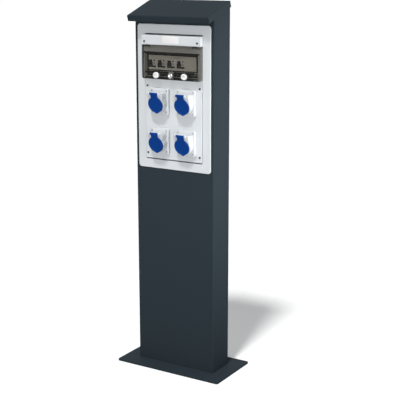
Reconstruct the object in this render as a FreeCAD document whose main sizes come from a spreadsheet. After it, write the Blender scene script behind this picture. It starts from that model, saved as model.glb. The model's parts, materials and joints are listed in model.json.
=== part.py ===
import FreeCAD, Part
import os
import re

# Distribution pillar in millimetres.
# X runs to the right, Y to the back and Z up. The origin is the bottom centre of the base plate.
# A depth called "proud" is measured forwards from the front face of the column.

SIZES = {
    # base plate
    "base_width": 390,
    "base_depth": 208,
    "base_thickness": 6,
    "base_corner": 6,
    "base_front": 58,
    "cable_hole_radius": 30,
    "anchor_spacing_wide": 200,
    "anchor_spacing_deep": 50,
    "anchor_radius": 6.5,
    # column
    "column_side": 10,
    "column_depth": 97,
    "column_sheet": 2,
    "column_bend": 3,
    "rear_sheet": 1.5,
    "rear_return": 20,
    "rear_side_gap": 0.5,
    "rear_foot_gap": 2,
    "rear_screw_inset": 12,
    "rear_screw_first": 40,
    "rear_screw_top": 33,
    "rear_screw_rows": 4,
    "rear_screw_radius": 2,
    "rear_screw_head": 4.2,
    "rear_screw_head_height": 2.2,
    "rear_screw_length": 3.5,
    # foot angles and their bolts
    "foot_leg": 30,
    "foot_sheet": 3,
    "foot_length": 76,
    "foot_bolt_inset": 18,
    "foot_bolt_spacing": 50,
    "foot_bolt_radius": 4,
    "foot_bolt_head": 6.5,
    "foot_bolt_head_height": 5.3,
    "foot_bolt_skin": 0.5,
    # roof cap, its brackets and screws
    "roof_slope": 19.1,
    "roof_side": 3,
    "roof_rear_inset": 3.3,
    "roof_lip": 20,
    "roof_sheet": 2,
    "roof_bend": 3,
    "roof_overhang": 40,
    "roof_rise": 27,
    "roof_gap": 0.5,
    "roof_notch": 1.2,
    "bracket_start": 60,
    "bracket_length": 55,
    "bracket_leg": 30,
    "bracket_drop": 24,
    "bracket_sheet": 2.5,
    "roof_screw_inset": 16,
    "roof_screw_end": 12,
    "roof_screw_radius": 2.5,
    "roof_screw_head": 4.5,
    "roof_screw_head_height": 3,
    "roof_screw_skin": 0.6,
    # surround frame
    "frame_bottom": 669,
    "frame_side_border": 29.4,
    "frame_end_border": 28.7,
    "frame_proud": 2,
    "frame_corner": 10,
    "frame_bevel": 1,
    "skirt_inset": 21,
    "skirt_wall": 2,
    "skirt_depth": 10,
    # back box
    "box_inset": 14,
    "box_wall": 2.5,
    "box_depth": 80,
    "box_flange": 10,
    "box_fit": 0.5,
    "post_radius": 5,
    "rivet_radius": 2,
    "rivet_inset": 5,
    # front panel and its screws
    "panel_thickness": 3,
    "panel_proud": 4,
    "panel_side_gap": 0.6,
    "panel_end_gap": 3.5,
    "panel_bevel": 0.6,
    "screw_inset": 8,
    "screw_low": 16.8,
    "screw_under_cover": 23.4,
    "screw_in_strip": 8.9,
    "screw_radius": 2,
    "screw_head": 3.3,
    "screw_head_height": 1.6,
    "screw_hex": 1.5,
    "screw_length": 20,
    # module cover, label and dark strip
    "cover_over": 2.5,
    "cover_wall": 2.5,
    "cover_rise": 69.8,
    "cover_face": 15,
    "cover_strip_face": 20,
    "cover_top_gap": 0.8,
    "cover_bevel": 2,
    "strip_height": 28.4,
    "aperture_side": 7.6,
    "aperture_low": 25,
    "trough_low": 8.2,
    "trough_height": 9,
    "trough_inset": 0.5,
    "label_width": 60,
    "label_height": 22,
    "label_thickness": 0.4,
    "ribbed_sheet": 2,
    "ribbed_margin": 1.5,
    "rib_pitch": 6,
    "rib_width": 1.4,
    "rib_height": 1.4,
    # window, its hinge, knobs and lock
    "window_face": 20,
    "window_sheet": 3.5,
    "window_height": 105.8,
    "window_top_gap": 1.8,
    "window_corner": 6,
    "window_bevel": 1.2,
    "window_wall": 2,
    "window_wall_gap": 0.4,
    "window_foot_gap": 1,
    "hinge_inset": 20.9,
    "hinge_drop": 1.8,
    "hinge_back": 2.6,
    "knuckle_width": 8,
    "knuckle_radius": 2.6,
    "lug_width": 3,
    "lug_drop": 2.6,
    "lug_front": 0.4,
    "hinge_gap": 0.3,
    "window_pin_radius": 1,
    "shaft_clearance": 0.05,
    "knob_spacing": 103.3,
    "knob_rise": 12.7,
    "knob_radius": 9.6,
    "knob_height": 7.7,
    "knob_gap": 0.3,
    "knob_bevel": 1.5,
    "knob_slot_width": 2.4,
    "knob_slot_depth": 2,
    "stem_radius": 3.2,
    "tongue_length": 7,
    "tongue_width": 5,
    "tongue_thickness": 3,
    "tongue_gap": 0.5,
    "lock_radius": 8,
    "lock_height": 3.5,
    "lock_sleeve": 6,
    "lock_way": 7.2,
    "barrel_radius": 4.4,
    "barrel_recess": 0.5,
    "key_slot_length": 6,
    "key_slot_width": 1.4,
    "key_slot_depth": 5,
    "cam_length": 7,
    "cam_width": 5,
    "cam_thickness": 1.6,
    # breakers and rail
    "module_width": 17.6,
    "module_gap": 0.2,
    "module_start": 8.6,
    "module_end": 10.4,
    "module_height": 85,
    "nose_height": 45,
    "nose_low_gap": 3.5,
    "nose_top_gap": 6.5,
    "nose_proud": 7,
    "nose_depth": 60,
    "shoulder_depth": 44,
    "rail_width": 35,
    "rail_depth": 7.5,
    "rail_sheet": 1,
    "rail_lip": 5,
    "rail_end_gap": 15.5,
    "rail_hook": 3,
    "rail_fit": 0.3,
    "rail_foot_width": 12,
    "lever_offset": 10.5,
    "lever_pivot_depth": 4,
    "lever_hub": 5,
    "lever_width": 8,
    "lever_reach": 11.5,
    "lever_thickness": 4,
    "lever_throw": 35,
    "lever_axle_radius": 1.5,
    "lever_axle_reach": 1,
    "lever_gap": 0.3,
    "lever_well_inset": 2,
    "button_offset": 3.2,
    "button_drop": 3,
    "button_radius": 3.5,
    "button_proud": 2.4,
    "button_length": 7,
    "button_travel": 1.5,
    # angled socket outlets
    "socket_spacing": 97.4,
    "socket_low_row": 60,
    "socket_row_pitch": 126,
    "flange_width": 70,
    "flange_height": 82,
    "flange_corner": 6,
    "flange_face": 12,
    "flange_bevel": 1,
    "gasket_thickness": 1,
    "gasket_inset": 1,
    "socket_hole_radius": 29.5,
    "flange_screw_wide": 54.7,
    "flange_screw_tall": 67,
    "flange_screw_radius": 2,
    "flange_screw_head": 3,
    "flange_screw_head_height": 1.4,
    "flange_screw_length": 14,
    "socket_tilt": 16.3,
    "lid_proud": 35,
    "lid_low": 10,
    "lid_radius": 26.5,
    "lid_thickness": 4,
    "lid_gap": 0.3,
    "lid_bevel": 1.2,
    "lid_neck_width": 24,
    "lid_chin_reach": 3.5,
    "lid_chin_tip": 1.5,
    "lid_chin_half": 12.4,
    "lid_chin_height": 23.4,
    "lid_boss_radius": 22,
    "lid_boss_height": 2.2,
    "lid_bar_width": 31,
    "lid_bar_radius": 3.5,
    "lid_bar_rise": 36.5,
    "lid_pin_radius": 1.5,
    "lid_lug_width": 4.2,
    "lid_lug_radius": 4.5,
    "collar_radius": 28.5,
    "collar_spread": 3,
    "collar_length": 36,
    "hood_width": 54,
    "hood_height": 28,
    "socket_bore_radius": 24,
    "socket_rear_radius": 26.5,
    "socket_rear_depth": 56,
    "keyway_width": 5,
    "keyway_depth": 2.2,
    "keyway_length": 12,
    "insert_recess": 20,
    "insert_clearance": 0.1,
    "insert_flange": 2,
    "contact_circle": 12,
    "contact_radius": 3.4,
    "contact_bore": 2.5,
    "contact_depth": 30,
    "contact_sink": 1,
    "contact_floor": 4,
    # terminal block, earth bar, gland and leads
    "terminal_width": 96,
    "terminal_height": 34,
    "terminal_depth": 40,
    "terminal_rise": 30,
    "terminal_pitch": 11,
    "terminal_side": 3,
    "wire_inset": 6,
    "terminal_screw": 2,
    "earth_width": 80,
    "earth_height": 9,
    "earth_thickness": 6,
    "earth_standoff": 2,
    "earth_rise": 70,
    "gland_depth": 42,
    "gland_thread": 12.5,
    "gland_flange": 16,
    "gland_flange_height": 5,
    "gland_nut_radius": 14,
    "gland_nut_height": 14,
    "gland_bore": 8,
    "gland_lip": 2,
    "gland_thread_end": 3,
    "locknut_height": 4.5,
    "lead_radius": 2,
    "lead_fit": 0.2,
    "lead_entry": 8,
}

# The rail has this many places of two modules each.
MODULE_PLACES = 5

# The widths follow from the row of modules outwards, and the heights from the frame's foot upwards.
PLACES = {
    # widths, from the row of modules out to the roof
    "aperture_width": f"{2 * MODULE_PLACES} * module_width + module_start + module_end",
    "module_left": "-aperture_width / 2 + module_start",
    "trough_width": "aperture_width - 2 * trough_inset",
    "cover_side": "aperture_width / 2 + aperture_side",
    "cover_width": "2 * (cover_side + window_wall + window_wall_gap)",
    "panel_width": "cover_width - 2 * cover_over",
    "opening_x": "panel_width / 2 + panel_side_gap",
    "frame_width": "2 * (opening_x + frame_side_border)",
    "column_width": "frame_width + 2 * column_side",
    "inner_x": "column_width / 2 - column_sheet",
    "roof_width": "column_width + 2 * roof_side",
    "hinge_spacing": "cover_width - 2 * hinge_inset",
    "screw_x": "panel_width / 2 - screw_inset",
    "box_x": "frame_width / 2 - box_inset",
    "rail_length": "2 * (box_x - box_wall - rail_end_gap)",
    # heights, from the frame's foot up to the roof
    "opening_low": "frame_bottom + frame_end_border",
    "panel_low": "opening_low + panel_end_gap",
    "cover_low": "panel_low + socket_low_row + socket_row_pitch + cover_rise",
    "cover_foot": "cover_low + window_wall + window_wall_gap",
    "window_top": "cover_low + window_height",
    "strip_low": "window_top + window_top_gap",
    "cover_high": "strip_low + strip_height",
    "panel_high": "cover_high + cover_top_gap",
    "opening_high": "panel_high + panel_end_gap",
    "frame_top": "opening_high + frame_end_border",
    "roof_front_height": "frame_top + roof_rise",
    "rear_screw_pitch": "(roof_front_height - rear_screw_top - rear_screw_first) / (rear_screw_rows - 1)",
    "box_low": "frame_bottom + box_inset",
    "box_high": "frame_top - box_inset",
    "screw_low_row": "panel_low + screw_low",
    "screw_mid_row": "cover_low - screw_under_cover",
    "screw_strip_row": "strip_low + screw_in_strip",
    "aperture_bottom": "cover_low + aperture_low",
    "aperture_top": "aperture_bottom + nose_low_gap + nose_height + nose_top_gap",
    "module_z": "aperture_bottom + nose_low_gap + nose_height / 2",
    "trough_bottom": "cover_low + trough_low",
    "trough_top": "trough_bottom + trough_height",
    "hinge_z": "window_top - hinge_drop",
    "knob_z": "cover_low + knob_rise",
    "terminal_low": "box_low + box_wall + terminal_rise",
    "terminal_high": "terminal_low + terminal_height",
    # depths of the column and the roof
    "face_y": "-base_depth / 2 + base_front",
    "rear_y": "face_y + column_depth",
    "shell_rear_y": "rear_y - rear_sheet",
    "middle_y": "(face_y + rear_y) / 2",
    "roof_y": "face_y - roof_overhang",
    "roof_length": "(roof_overhang + column_depth - roof_rear_inset) / cos(roof_slope)",
    "column_ceiling": "-roof_sheet - roof_gap",
    # how far pieces stand proud of the column's face
    "box_floor": "-box_depth + box_wall",
    "panel_back": "panel_proud - panel_thickness",
    "window_back": "window_face - window_sheet",
    "window_foot": "panel_proud + window_foot_gap",
    "hinge_proud": "window_face - hinge_back",
    "tongue_front": "cover_face - cover_wall - tongue_gap",
    "tongue_back": "tongue_front - tongue_thickness",
    "cam_front": "tongue_front - (tongue_thickness - cam_thickness) / 2",
    "cam_back": "cam_front - cam_thickness",
    "rail_proud": "nose_proud - nose_depth",
    "shoulder_proud": "rail_proud + shoulder_depth",
    "pivot_proud": "nose_proud - lever_pivot_depth",
    "flange_back": "panel_proud + gasket_thickness",
    "terminal_front": "box_floor + terminal_depth",
    "wire_proud": "terminal_front - wire_inset",
    # depths and widths within a socket
    "mouth_depth": "lid_thickness + lid_gap",
    "bar_half": "lid_bar_width / 2",
    "lug_inner": "lid_bar_width / 2 + lid_gap",
    "lug_outer": "lug_inner + lid_lug_width",
}

# How far a cutting block reaches past what it cuts, and how far joined blocks enter each other.
PAST = 5
LAP = 1
FAR = 400

doc = FreeCAD.newDocument("DistributionPillar")
pieces = []


def bound(text):
    """Return an expression with each size and place named through its sheet."""
    def sheet_name(match):
        word = match.group(0)
        if word in SIZES:
            return "Sizes." + word
        if word in PLACES:
            return "Places." + word
        return word
    return re.sub(r"[a-z][a-z_]+", sheet_name, str(text))


def fill_sheet(name, rows):
    """Write a sheet with one named row for each value."""
    sheet = doc.addObject("Spreadsheet::Sheet", name)
    for row, (alias, value) in enumerate(rows.items(), start=1):
        sheet.set(f"A{row}", alias)
        sheet.set(f"B{row}", value)
        sheet.setAlias(f"B{row}", alias)
    doc.recompute()
    return sheet


fill_sheet("Sizes", {alias: str(value) for alias, value in SIZES.items()})
places = fill_sheet("Places", {alias: "=" + bound(rule) for alias, rule in PLACES.items()})

X_AXIS = FreeCAD.Vector(1, 0, 0)
Y_AXIS = FreeCAD.Vector(0, 1, 0)
Z_AXIS = FreeCAD.Vector(0, 0, 1)


def seat(obj, point, turn_axis, turn, tilt):
    """Place a primitive at a point, either in the pillar's frame or in a frame tilted about X."""
    x, y, z = point
    obj.Placement = FreeCAD.Placement(FreeCAD.Vector(), FreeCAD.Rotation(turn_axis, 1))
    if tilt is None:
        angle = turn
    else:
        x_seat, y_seat, z_seat, slope = tilt
        x, y, z = (
            f"{x_seat} + ({x})",
            f"{y_seat} + ({y}) * cos({slope}) - ({z}) * sin({slope})",
            f"{z_seat} + ({y}) * sin({slope}) + ({z}) * cos({slope})",
        )
        angle = turn if turn_axis == Y_AXIS else f"{slope} + ({turn})"
    obj.setExpression("Placement.Base.x", bound(x))
    obj.setExpression("Placement.Base.y", bound(y))
    obj.setExpression("Placement.Base.z", bound(z))
    obj.setExpression("Placement.Rotation.Angle", bound(angle))
    return obj


def box(name, x, y, z, tilt=None):
    """Make a block between two values on each axis."""
    obj = doc.addObject("Part::Box", name)
    for side, (low, high) in zip(("Length", "Width", "Height"), (x, y, z)):
        obj.setExpression(side, bound(f"({high}) - ({low})"))
    return seat(obj, (x[0], y[0], z[0]), X_AXIS, 0, tilt)


def round_bar(obj, x, y, z, tilt):
    """Lay a round primitive along the one axis that is given as a pair."""
    if isinstance(x, tuple):
        obj.setExpression("Height", bound(f"({x[1]}) - ({x[0]})"))
        return seat(obj, (x[0], y, z), Y_AXIS, 90, tilt)
    if isinstance(y, tuple):
        obj.setExpression("Height", bound(f"({y[1]}) - ({y[0]})"))
        return seat(obj, (x, y[0], z), X_AXIS, -90, tilt)
    obj.setExpression("Height", bound(f"({z[1]}) - ({z[0]})"))
    return seat(obj, (x, y, z[0]), X_AXIS, 0, tilt)


def rod(name, x, y, z, radius, tilt=None):
    """Make a cylinder along the axis that is given as a pair."""
    obj = doc.addObject("Part::Cylinder", name)
    obj.setExpression("Radius", bound(radius))
    return round_bar(obj, x, y, z, tilt)


def cone(name, x, y, z, radii, tilt=None):
    """Make a cone along the axis that is given as a pair, from its low end to its high end."""
    obj = doc.addObject("Part::Cone", name)
    obj.setExpression("Radius1", bound(radii[0]))
    obj.setExpression("Radius2", bound(radii[1]))
    return round_bar(obj, x, y, z, tilt)


def hex_rod(name, x, y, z, radius, tilt=None):
    """Make a six-sided bar along the axis that is given as a pair."""
    obj = doc.addObject("Part::Prism", name)
    obj.Polygon = 6
    obj.setExpression("Circumradius", bound(radius))
    return round_bar(obj, x, y, z, tilt)


def proud(low, high):
    """Return the Y pair of a stretch that is measured forwards from the column's face."""
    return (f"face_y - ({high})", f"face_y - ({low})")


def fuse(name, *parts):
    """Join solids into one."""
    obj = doc.addObject("Part::MultiFuse", name)
    obj.Shapes = list(parts)
    obj.Refine = True
    return obj


def cut(name, base, *tools):
    """Take the tools out of the base."""
    tool = tools[0]
    if len(tools) > 1:
        tool = doc.addObject("Part::Compound", name + "_tools")
        tool.Links = list(tools)
    obj = doc.addObject("Part::Cut", name)
    obj.Base = base
    obj.Tool = tool
    return obj


def group(name, *parts):
    """Keep alike solids apart, in one object."""
    obj = doc.addObject("Part::Compound", name)
    obj.Links = list(parts)
    return obj


def edge_numbers(obj, wanted):
    """Recompute an object and number the straight edges for which wanted(edge) is true."""
    doc.recompute()
    edges = enumerate(obj.Shape.Edges, start=1)
    return [number for number, edge in edges if edge.Curve.TypeId == "Part::GeomLine" and wanted(edge)]


def along(axis):
    """Return a test for an edge that runs along an axis."""
    return lambda edge: abs(edge.tangentAt(edge.FirstParameter).dot(axis)) > 0.999


def at_depth(depth):
    """Return a test for an edge that lies a depth forwards of the column's face."""
    return lambda edge: abs(edge.CenterOfMass.y - places.face_y + depth) < 0.01


def rounded(name, base, radius, wanted):
    """Round the wanted edges."""
    obj = doc.addObject("Part::Fillet", name)
    numbers = edge_numbers(base, wanted)
    obj.Base = base
    obj.Edges = [(number, radius, radius) for number in numbers]
    return obj


def bevelled(name, base, size, wanted):
    """Bevel the wanted edges."""
    obj = doc.addObject("Part::Chamfer", name)
    numbers = edge_numbers(base, wanted)
    obj.Base = base
    obj.Edges = [(number, size, size) for number in numbers]
    return obj


def piece(obj, label):
    """Name a finished sub-part and keep it for writing."""
    obj.Label = label
    pieces.append(obj)
    return obj


def both_ways(half):
    """Return the pair from minus to plus a half width."""
    return (f"-({half})", half)


ROOF_SEAT = ("0", "roof_y", "roof_front_height", "roof_slope")
SIDES = (-1, 1)


def side_pair(side, inner, outer):
    """Return the X pair of a piece that lies on the left (-1) or right (1) side."""
    if side > 0:
        return (inner, outer)
    return (f"-({outer})", f"-({inner})")


def foot_bolt_places():
    """List where the four foot bolts stand."""
    return [
        (f"{side} * (inner_x - foot_bolt_inset)", f"middle_y + {end} * foot_bolt_spacing / 2")
        for side in SIDES
        for end in SIDES
    ]


def make_base_plate():
    """Steel foot plate with the cable hole and the anchor holes inside the column."""
    plate = box("plate_block", both_ways("base_width / 2"), both_ways("base_depth / 2"),
                (0, "base_thickness"))
    plate = rounded("plate_rounded", plate, SIZES["base_corner"], along(Z_AXIS))
    through = (-PAST, f"base_thickness + {PAST}")
    holes = [rod("cable_hole", "0", "middle_y", through, "cable_hole_radius")]
    for side in SIDES:
        for end in SIDES:
            x = f"{side} * anchor_spacing_wide / 2"
            y = f"middle_y + {end} * anchor_spacing_deep / 2"
            holes.append(rod("anchor_hole", x, y, through, "anchor_radius"))
    for x, y in foot_bolt_places():
        tapped = ("foot_bolt_skin", f"base_thickness + {PAST}")
        holes.append(rod("foot_bolt_hole", x, y, tapped, "foot_bolt_radius"))
    piece(cut("base_plate", plate, *holes), "base_plate")


def make_foot_angles():
    """Two angles that tie the column's sides to the base plate, with their bolts."""
    angles = []
    y = ("middle_y - foot_length / 2", "middle_y + foot_length / 2")
    for side in SIDES:
        flat = side_pair(side, "inner_x - foot_leg", "inner_x")
        wall = side_pair(side, "inner_x - foot_sheet", "inner_x")
        angles.append(fuse(
            "foot_angle",
            box("foot_flat", flat, y, ("base_thickness", "base_thickness + foot_sheet")),
            box("foot_wall", wall, y, ("base_thickness", "base_thickness + foot_leg")),
        ))
    top = "base_thickness + foot_sheet"
    shanks = [
        rod("foot_bolt_way", x, y_bolt, (f"base_thickness - {LAP}", f"{top} + {LAP}"), "foot_bolt_radius")
        for x, y_bolt in foot_bolt_places()
    ]
    piece(cut("foot_angles", group("foot_angle_pair", *angles), *shanks), "foot_angles")
    bolts = []
    for x, y_bolt in foot_bolt_places():
        bolts.append(fuse(
            "foot_bolt",
            rod("foot_bolt_shank", x, y_bolt, ("foot_bolt_skin", f"{top} + {LAP}"), "foot_bolt_radius"),
            hex_rod("foot_bolt_head", x, y_bolt, (top, f"{top} + foot_bolt_head_height"), "foot_bolt_head"),
        ))
    piece(group("foot_bolts", *bolts), "foot_bolts")


def roof_spaces():
    """Blocks above and behind the column's top, where the roof cap lies."""
    x = both_ways("roof_width")
    above = box("above_column", x, (-FAR, FAR), ("column_ceiling", f"column_ceiling + {FAR}"), ROOF_SEAT)
    behind_y = "roof_length - roof_sheet - roof_gap"
    behind = box("behind_column", x, (behind_y, f"{behind_y} + {FAR}"), (-FAR / 4, FAR), ROOF_SEAT)
    return [above, behind]


def rear_screw_places():
    """List where the rear screws sit, in two upright rows."""
    return [
        (f"{side} * (column_width / 2 - rear_screw_inset)", f"rear_screw_first + {row} * rear_screw_pitch")
        for side in SIDES
        for row in range(SIZES["rear_screw_rows"])
    ]


def rivet_places():
    """List where the rivets hold the back box's flange to the column's sheet."""
    x_side = "box_x + rivet_inset"
    middle = "(frame_bottom + frame_top) / 2"
    places = [
        (f"{side} * ({x_side})", z)
        for side in SIDES
        for z in ("box_low + box_flange", middle, "box_high - box_flange")
    ]
    return places + [("0", "box_low - rivet_inset"), ("0", "box_high + rivet_inset")]


def make_column():
    """Folded column: a front, two sides and two rear returns, open at the foot and under the roof."""
    tall = ("base_thickness", f"roof_front_height + {FAR}")
    outside = box("column_block", both_ways("column_width / 2"), ("face_y", "shell_rear_y"), tall)
    outside = rounded("column_bends", outside, SIZES["column_bend"], along(Z_AXIS))
    tall_cut = (0, f"roof_front_height + 2 * {FAR}")
    inside = box("column_inside", both_ways("inner_x"),
                 ("face_y + column_sheet", "shell_rear_y - column_sheet"), tall_cut)
    rear_gap = box("column_rear_gap", both_ways("column_width / 2 - rear_return"),
                   ("middle_y", f"rear_y + {PAST}"), tall_cut)
    window = box("column_window", both_ways("box_x + box_fit"), proud(f"-column_sheet - {PAST}", PAST),
                 ("box_low - box_fit", "box_high + box_fit"))
    ways = [
        rod("rear_screw_way", x, (f"shell_rear_y - {PAST}", f"rear_y + {PAST}"), z, "rear_screw_radius")
        for x, z in rear_screw_places()
    ]
    ways += [
        rod("rivet_way", x, proud(f"-column_sheet - {LAP}", PAST), z, "rivet_radius")
        for x, z in rivet_places()
    ]
    piece(cut("column", outside, inside, rear_gap, window, *roof_spaces(), *ways), "column")


def make_rear_panel():
    """Removable service sheet over the column's open back, with its two rows of screws."""
    sheet = box("rear_sheet_block", both_ways("column_width / 2 - rear_side_gap"), ("shell_rear_y", "rear_y"),
                ("base_thickness + rear_foot_gap", f"roof_front_height + {FAR}"))
    ways = [
        rod("rear_panel_way", x, (f"shell_rear_y - {PAST}", f"rear_y + {PAST}"), z, "rear_screw_radius")
        for x, z in rear_screw_places()
    ]
    piece(cut("rear_panel", sheet, *roof_spaces(), *ways), "rear_panel")
    screws = []
    for x, z in rear_screw_places():
        screws.append(fuse(
            "rear_screw",
            rod("rear_screw_shank", x, ("rear_y - rear_screw_length", f"rear_y + {LAP}"), z,
                "rear_screw_radius"),
            rod("rear_screw_cap", x, ("rear_y", "rear_y + rear_screw_head_height"), z, "rear_screw_head"),
        ))
    piece(group("rear_panel_screws", *screws), "rear_panel_screws")


def roof_screw_places():
    """List where the roof screws stand, in the roof's own frame."""
    return [
        (f"{side} * (inner_x - roof_screw_inset)", y)
        for side in SIDES
        for y in ("bracket_start + roof_screw_end", "bracket_start + bracket_length - roof_screw_end")
    ]


def make_roof():
    """Sloping roof cap with four turned-down lips, its brackets and screws."""
    outside = box("roof_block", both_ways("roof_width / 2"), (0, "roof_length"), ("-roof_lip", 0), ROOF_SEAT)
    down = FreeCAD.Rotation(X_AXIS, SIZES["roof_slope"]).multVec(Z_AXIS)
    roof_top = lambda edge: edge.CenterOfMass.sub(outside.Shape.CenterOfMass).dot(down) > 0
    outside = rounded("roof_bends", outside, SIZES["roof_bend"], roof_top)
    below = f"-roof_lip - {PAST}"
    inside = box("roof_inside", both_ways("roof_width / 2 - roof_sheet"),
                 ("roof_sheet", "roof_length - roof_sheet"), (below, "-roof_sheet"), ROOF_SEAT)
    notches = []
    front_lip = (f"-{PAST}", f"roof_sheet + {LAP}")
    rear_lip = (f"roof_length - roof_sheet - {LAP}", f"roof_length + {PAST}")
    for side in SIDES:
        x = side_pair(side, "roof_width / 2 - roof_sheet - roof_notch", "roof_width / 2 - roof_sheet")
        for y in (front_lip, rear_lip):
            notches.append(box("roof_seam", x, y, (below, "-roof_bend - roof_sheet"), ROOF_SEAT))
    blind = [
        rod("roof_screw_way", x, y, (below, "-roof_screw_skin"), "roof_screw_radius", ROOF_SEAT)
        for x, y in roof_screw_places()
    ]
    piece(cut("roof_cap", outside, inside, *notches, *blind), "roof_cap")

    brackets = []
    y = ("bracket_start", "bracket_start + bracket_length")
    leg_z = ("-roof_sheet - bracket_sheet", "-roof_sheet")
    for side in SIDES:
        brackets.append(fuse(
            "roof_bracket",
            box("bracket_leg_flat", side_pair(side, "inner_x - bracket_leg", "inner_x"), y, leg_z, ROOF_SEAT),
            box("bracket_leg_wall", side_pair(side, "inner_x - bracket_sheet", "inner_x"), y,
                ("-roof_sheet - bracket_drop", "-roof_sheet"), ROOF_SEAT),
        ))
    ways = [
        rod("bracket_way", x, y_way, (f"-roof_sheet - {PAST}", 0), "roof_screw_radius", ROOF_SEAT)
        for x, y_way in roof_screw_places()
    ]
    piece(cut("roof_brackets", group("bracket_pair", *brackets), *ways), "roof_brackets")
    screws = []
    under = "-roof_sheet - bracket_sheet"
    for x, y_screw in roof_screw_places():
        screws.append(fuse(
            "roof_screw",
            rod("roof_screw_shank", x, y_screw, (f"{under} - {LAP}", "-roof_screw_skin"), "roof_screw_radius",
                ROOF_SEAT),
            rod("roof_screw_cap", x, y_screw, (f"{under} - roof_screw_head_height", under), "roof_screw_head",
                ROOF_SEAT),
        ))
    piece(group("roof_screws", *screws), "roof_screws")


def make_frame():
    """Light grey surround frame with rounded corners and a skirt that enters the back box."""
    plate = box("frame_block", both_ways("frame_width / 2"), proud(0, "frame_proud"),
                ("frame_bottom", "frame_top"))
    plate = rounded("frame_rounded", plate, SIZES["frame_corner"], along(Y_AXIS))
    plate = bevelled("frame_bevelled", plate, SIZES["frame_bevel"], at_depth(SIZES["frame_proud"]))
    skirt_outer = "frame_width / 2 - skirt_inset"
    low, high = "frame_bottom + skirt_inset", "frame_top - skirt_inset"
    skirt = box("skirt_block", both_ways(skirt_outer), proud("-skirt_depth", 0), (low, high))
    hollow = box("skirt_hollow", both_ways(f"{skirt_outer} - skirt_wall"), proud(f"-skirt_depth - {PAST}", 0),
                 (f"{low} + skirt_wall", f"{high} - skirt_wall"))
    opening = box("frame_opening", both_ways("opening_x"), proud(-PAST, f"frame_proud + {PAST}"),
                  ("opening_low", "opening_high"))
    piece(cut("surround_frame", fuse("frame_and_skirt", plate, cut("skirt", skirt, hollow)), opening),
          "surround_frame")


def screw_rows():
    """Name the heights of the three pairs of dark screws."""
    return ("screw_low_row", "screw_mid_row", "screw_strip_row")


def make_back_box():
    """Moulded box behind the panel, with screw posts, rail feet and a hole for the gland."""
    outside = box("back_block", both_ways("box_x"), proud("-box_depth", 0), ("box_low", "box_high"))
    flange = box("back_flange", both_ways("box_x + box_flange"),
                 proud("-column_sheet - box_wall", "-column_sheet"),
                 ("box_low - box_flange", "box_high + box_flange"))
    inside = box("back_inside", both_ways("box_x - box_wall"), proud("box_floor", PAST),
                 ("box_low + box_wall", "box_high - box_wall"))
    tray = cut("back_tray", fuse("back_outside", outside, flange), inside)
    inner_parts = []
    for side in SIDES:
        for row in screw_rows():
            inner_parts.append(rod("post", f"{side} * screw_x", proud(f"box_floor - {LAP}", "panel_back"),
                                   row, "post_radius"))
        foot_x = side_pair(side, "rail_length / 2 - rail_foot_width", "rail_length / 2")
        inner_parts.append(box("rail_foot", foot_x, proud(f"box_floor - {LAP}", "rail_proud - rail_depth"),
                               ("module_z - rail_width / 2", "module_z + rail_width / 2")))
    holes = []
    for side in SIDES:
        for row in screw_rows():
            holes.append(rod("post_bore", f"{side} * screw_x",
                             proud("panel_back - screw_length", f"panel_back + {PAST}"),
                             row, "screw_radius"))
    holes += [
        rod("flange_rivet_way", x, proud(f"-column_sheet - box_wall - {LAP}", PAST), z, "rivet_radius")
        for x, z in rivet_places()
    ]
    holes.append(rod("gland_hole", "0", "face_y + gland_depth",
                     (f"box_low - {PAST}", f"box_low + box_wall + {PAST}"), "gland_thread"))
    piece(cut("back_box", fuse("back_filled", tray, *inner_parts), *holes), "back_box")
    rivets = [
        rod("rivet", x, proud("-column_sheet - box_wall", 0), z, "rivet_radius")
        for x, z in rivet_places()
    ]
    piece(group("box_rivets", *rivets), "box_rivets")


def socket_places():
    """List the four sockets' centres, from top left to bottom right."""
    return [
        (f"{side} * socket_spacing / 2", f"panel_low + socket_low_row + {row} * socket_row_pitch")
        for row in (1, 0)
        for side in SIDES
    ]


def flange_screw_places():
    """List the four screw places of every socket flange."""
    return [
        (f"{x} + {side} * flange_screw_wide / 2", f"{z} + {end} * flange_screw_tall / 2")
        for x, z in socket_places()
        for side in SIDES
        for end in SIDES
    ]


def make_panel():
    """Front panel with the socket holes and the way through for the breakers."""
    plate = box("panel_block", both_ways("panel_width / 2"), proud("panel_back", "panel_proud"),
                ("panel_low", "panel_high"))
    plate = bevelled("panel_bevelled", plate, SIZES["panel_bevel"], at_depth(SIZES["panel_proud"]))
    through = proud(-PAST, "panel_proud + 2 * panel_thickness")
    holes = [rod("socket_hole", x, through, z, "socket_hole_radius") for x, z in socket_places()]
    holes += [rod("flange_screw_way", x, through, z, "flange_screw_radius") for x, z in flange_screw_places()]
    holes += [
        rod("panel_screw_way", f"{side} * screw_x", through, row, "screw_radius")
        for side in SIDES
        for row in screw_rows()
    ]
    holes.append(box("module_way", both_ways("aperture_width / 2"), through,
                     ("aperture_bottom", "aperture_top")))
    piece(cut("front_panel", plate, *holes), "front_panel")


def dark_screw(x, z, head_seat):
    """Make one dark socket-head screw whose head lies on a given plane."""
    shank = rod("dark_shank", x, proud(f"panel_back - screw_length + {LAP}", f"{head_seat} + {LAP}"), z,
                "screw_radius")
    head = rod("dark_head", x, proud(head_seat, f"{head_seat} + screw_head_height"), z, "screw_head")
    drive_depth = proud(f"{head_seat} + screw_head_height / 2", f"{head_seat} + {PAST}")
    drive = hex_rod("dark_drive", x, drive_depth, z, "screw_hex")
    return cut("dark_screw", fuse("dark_screw_blank", shank, head), drive)


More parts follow.
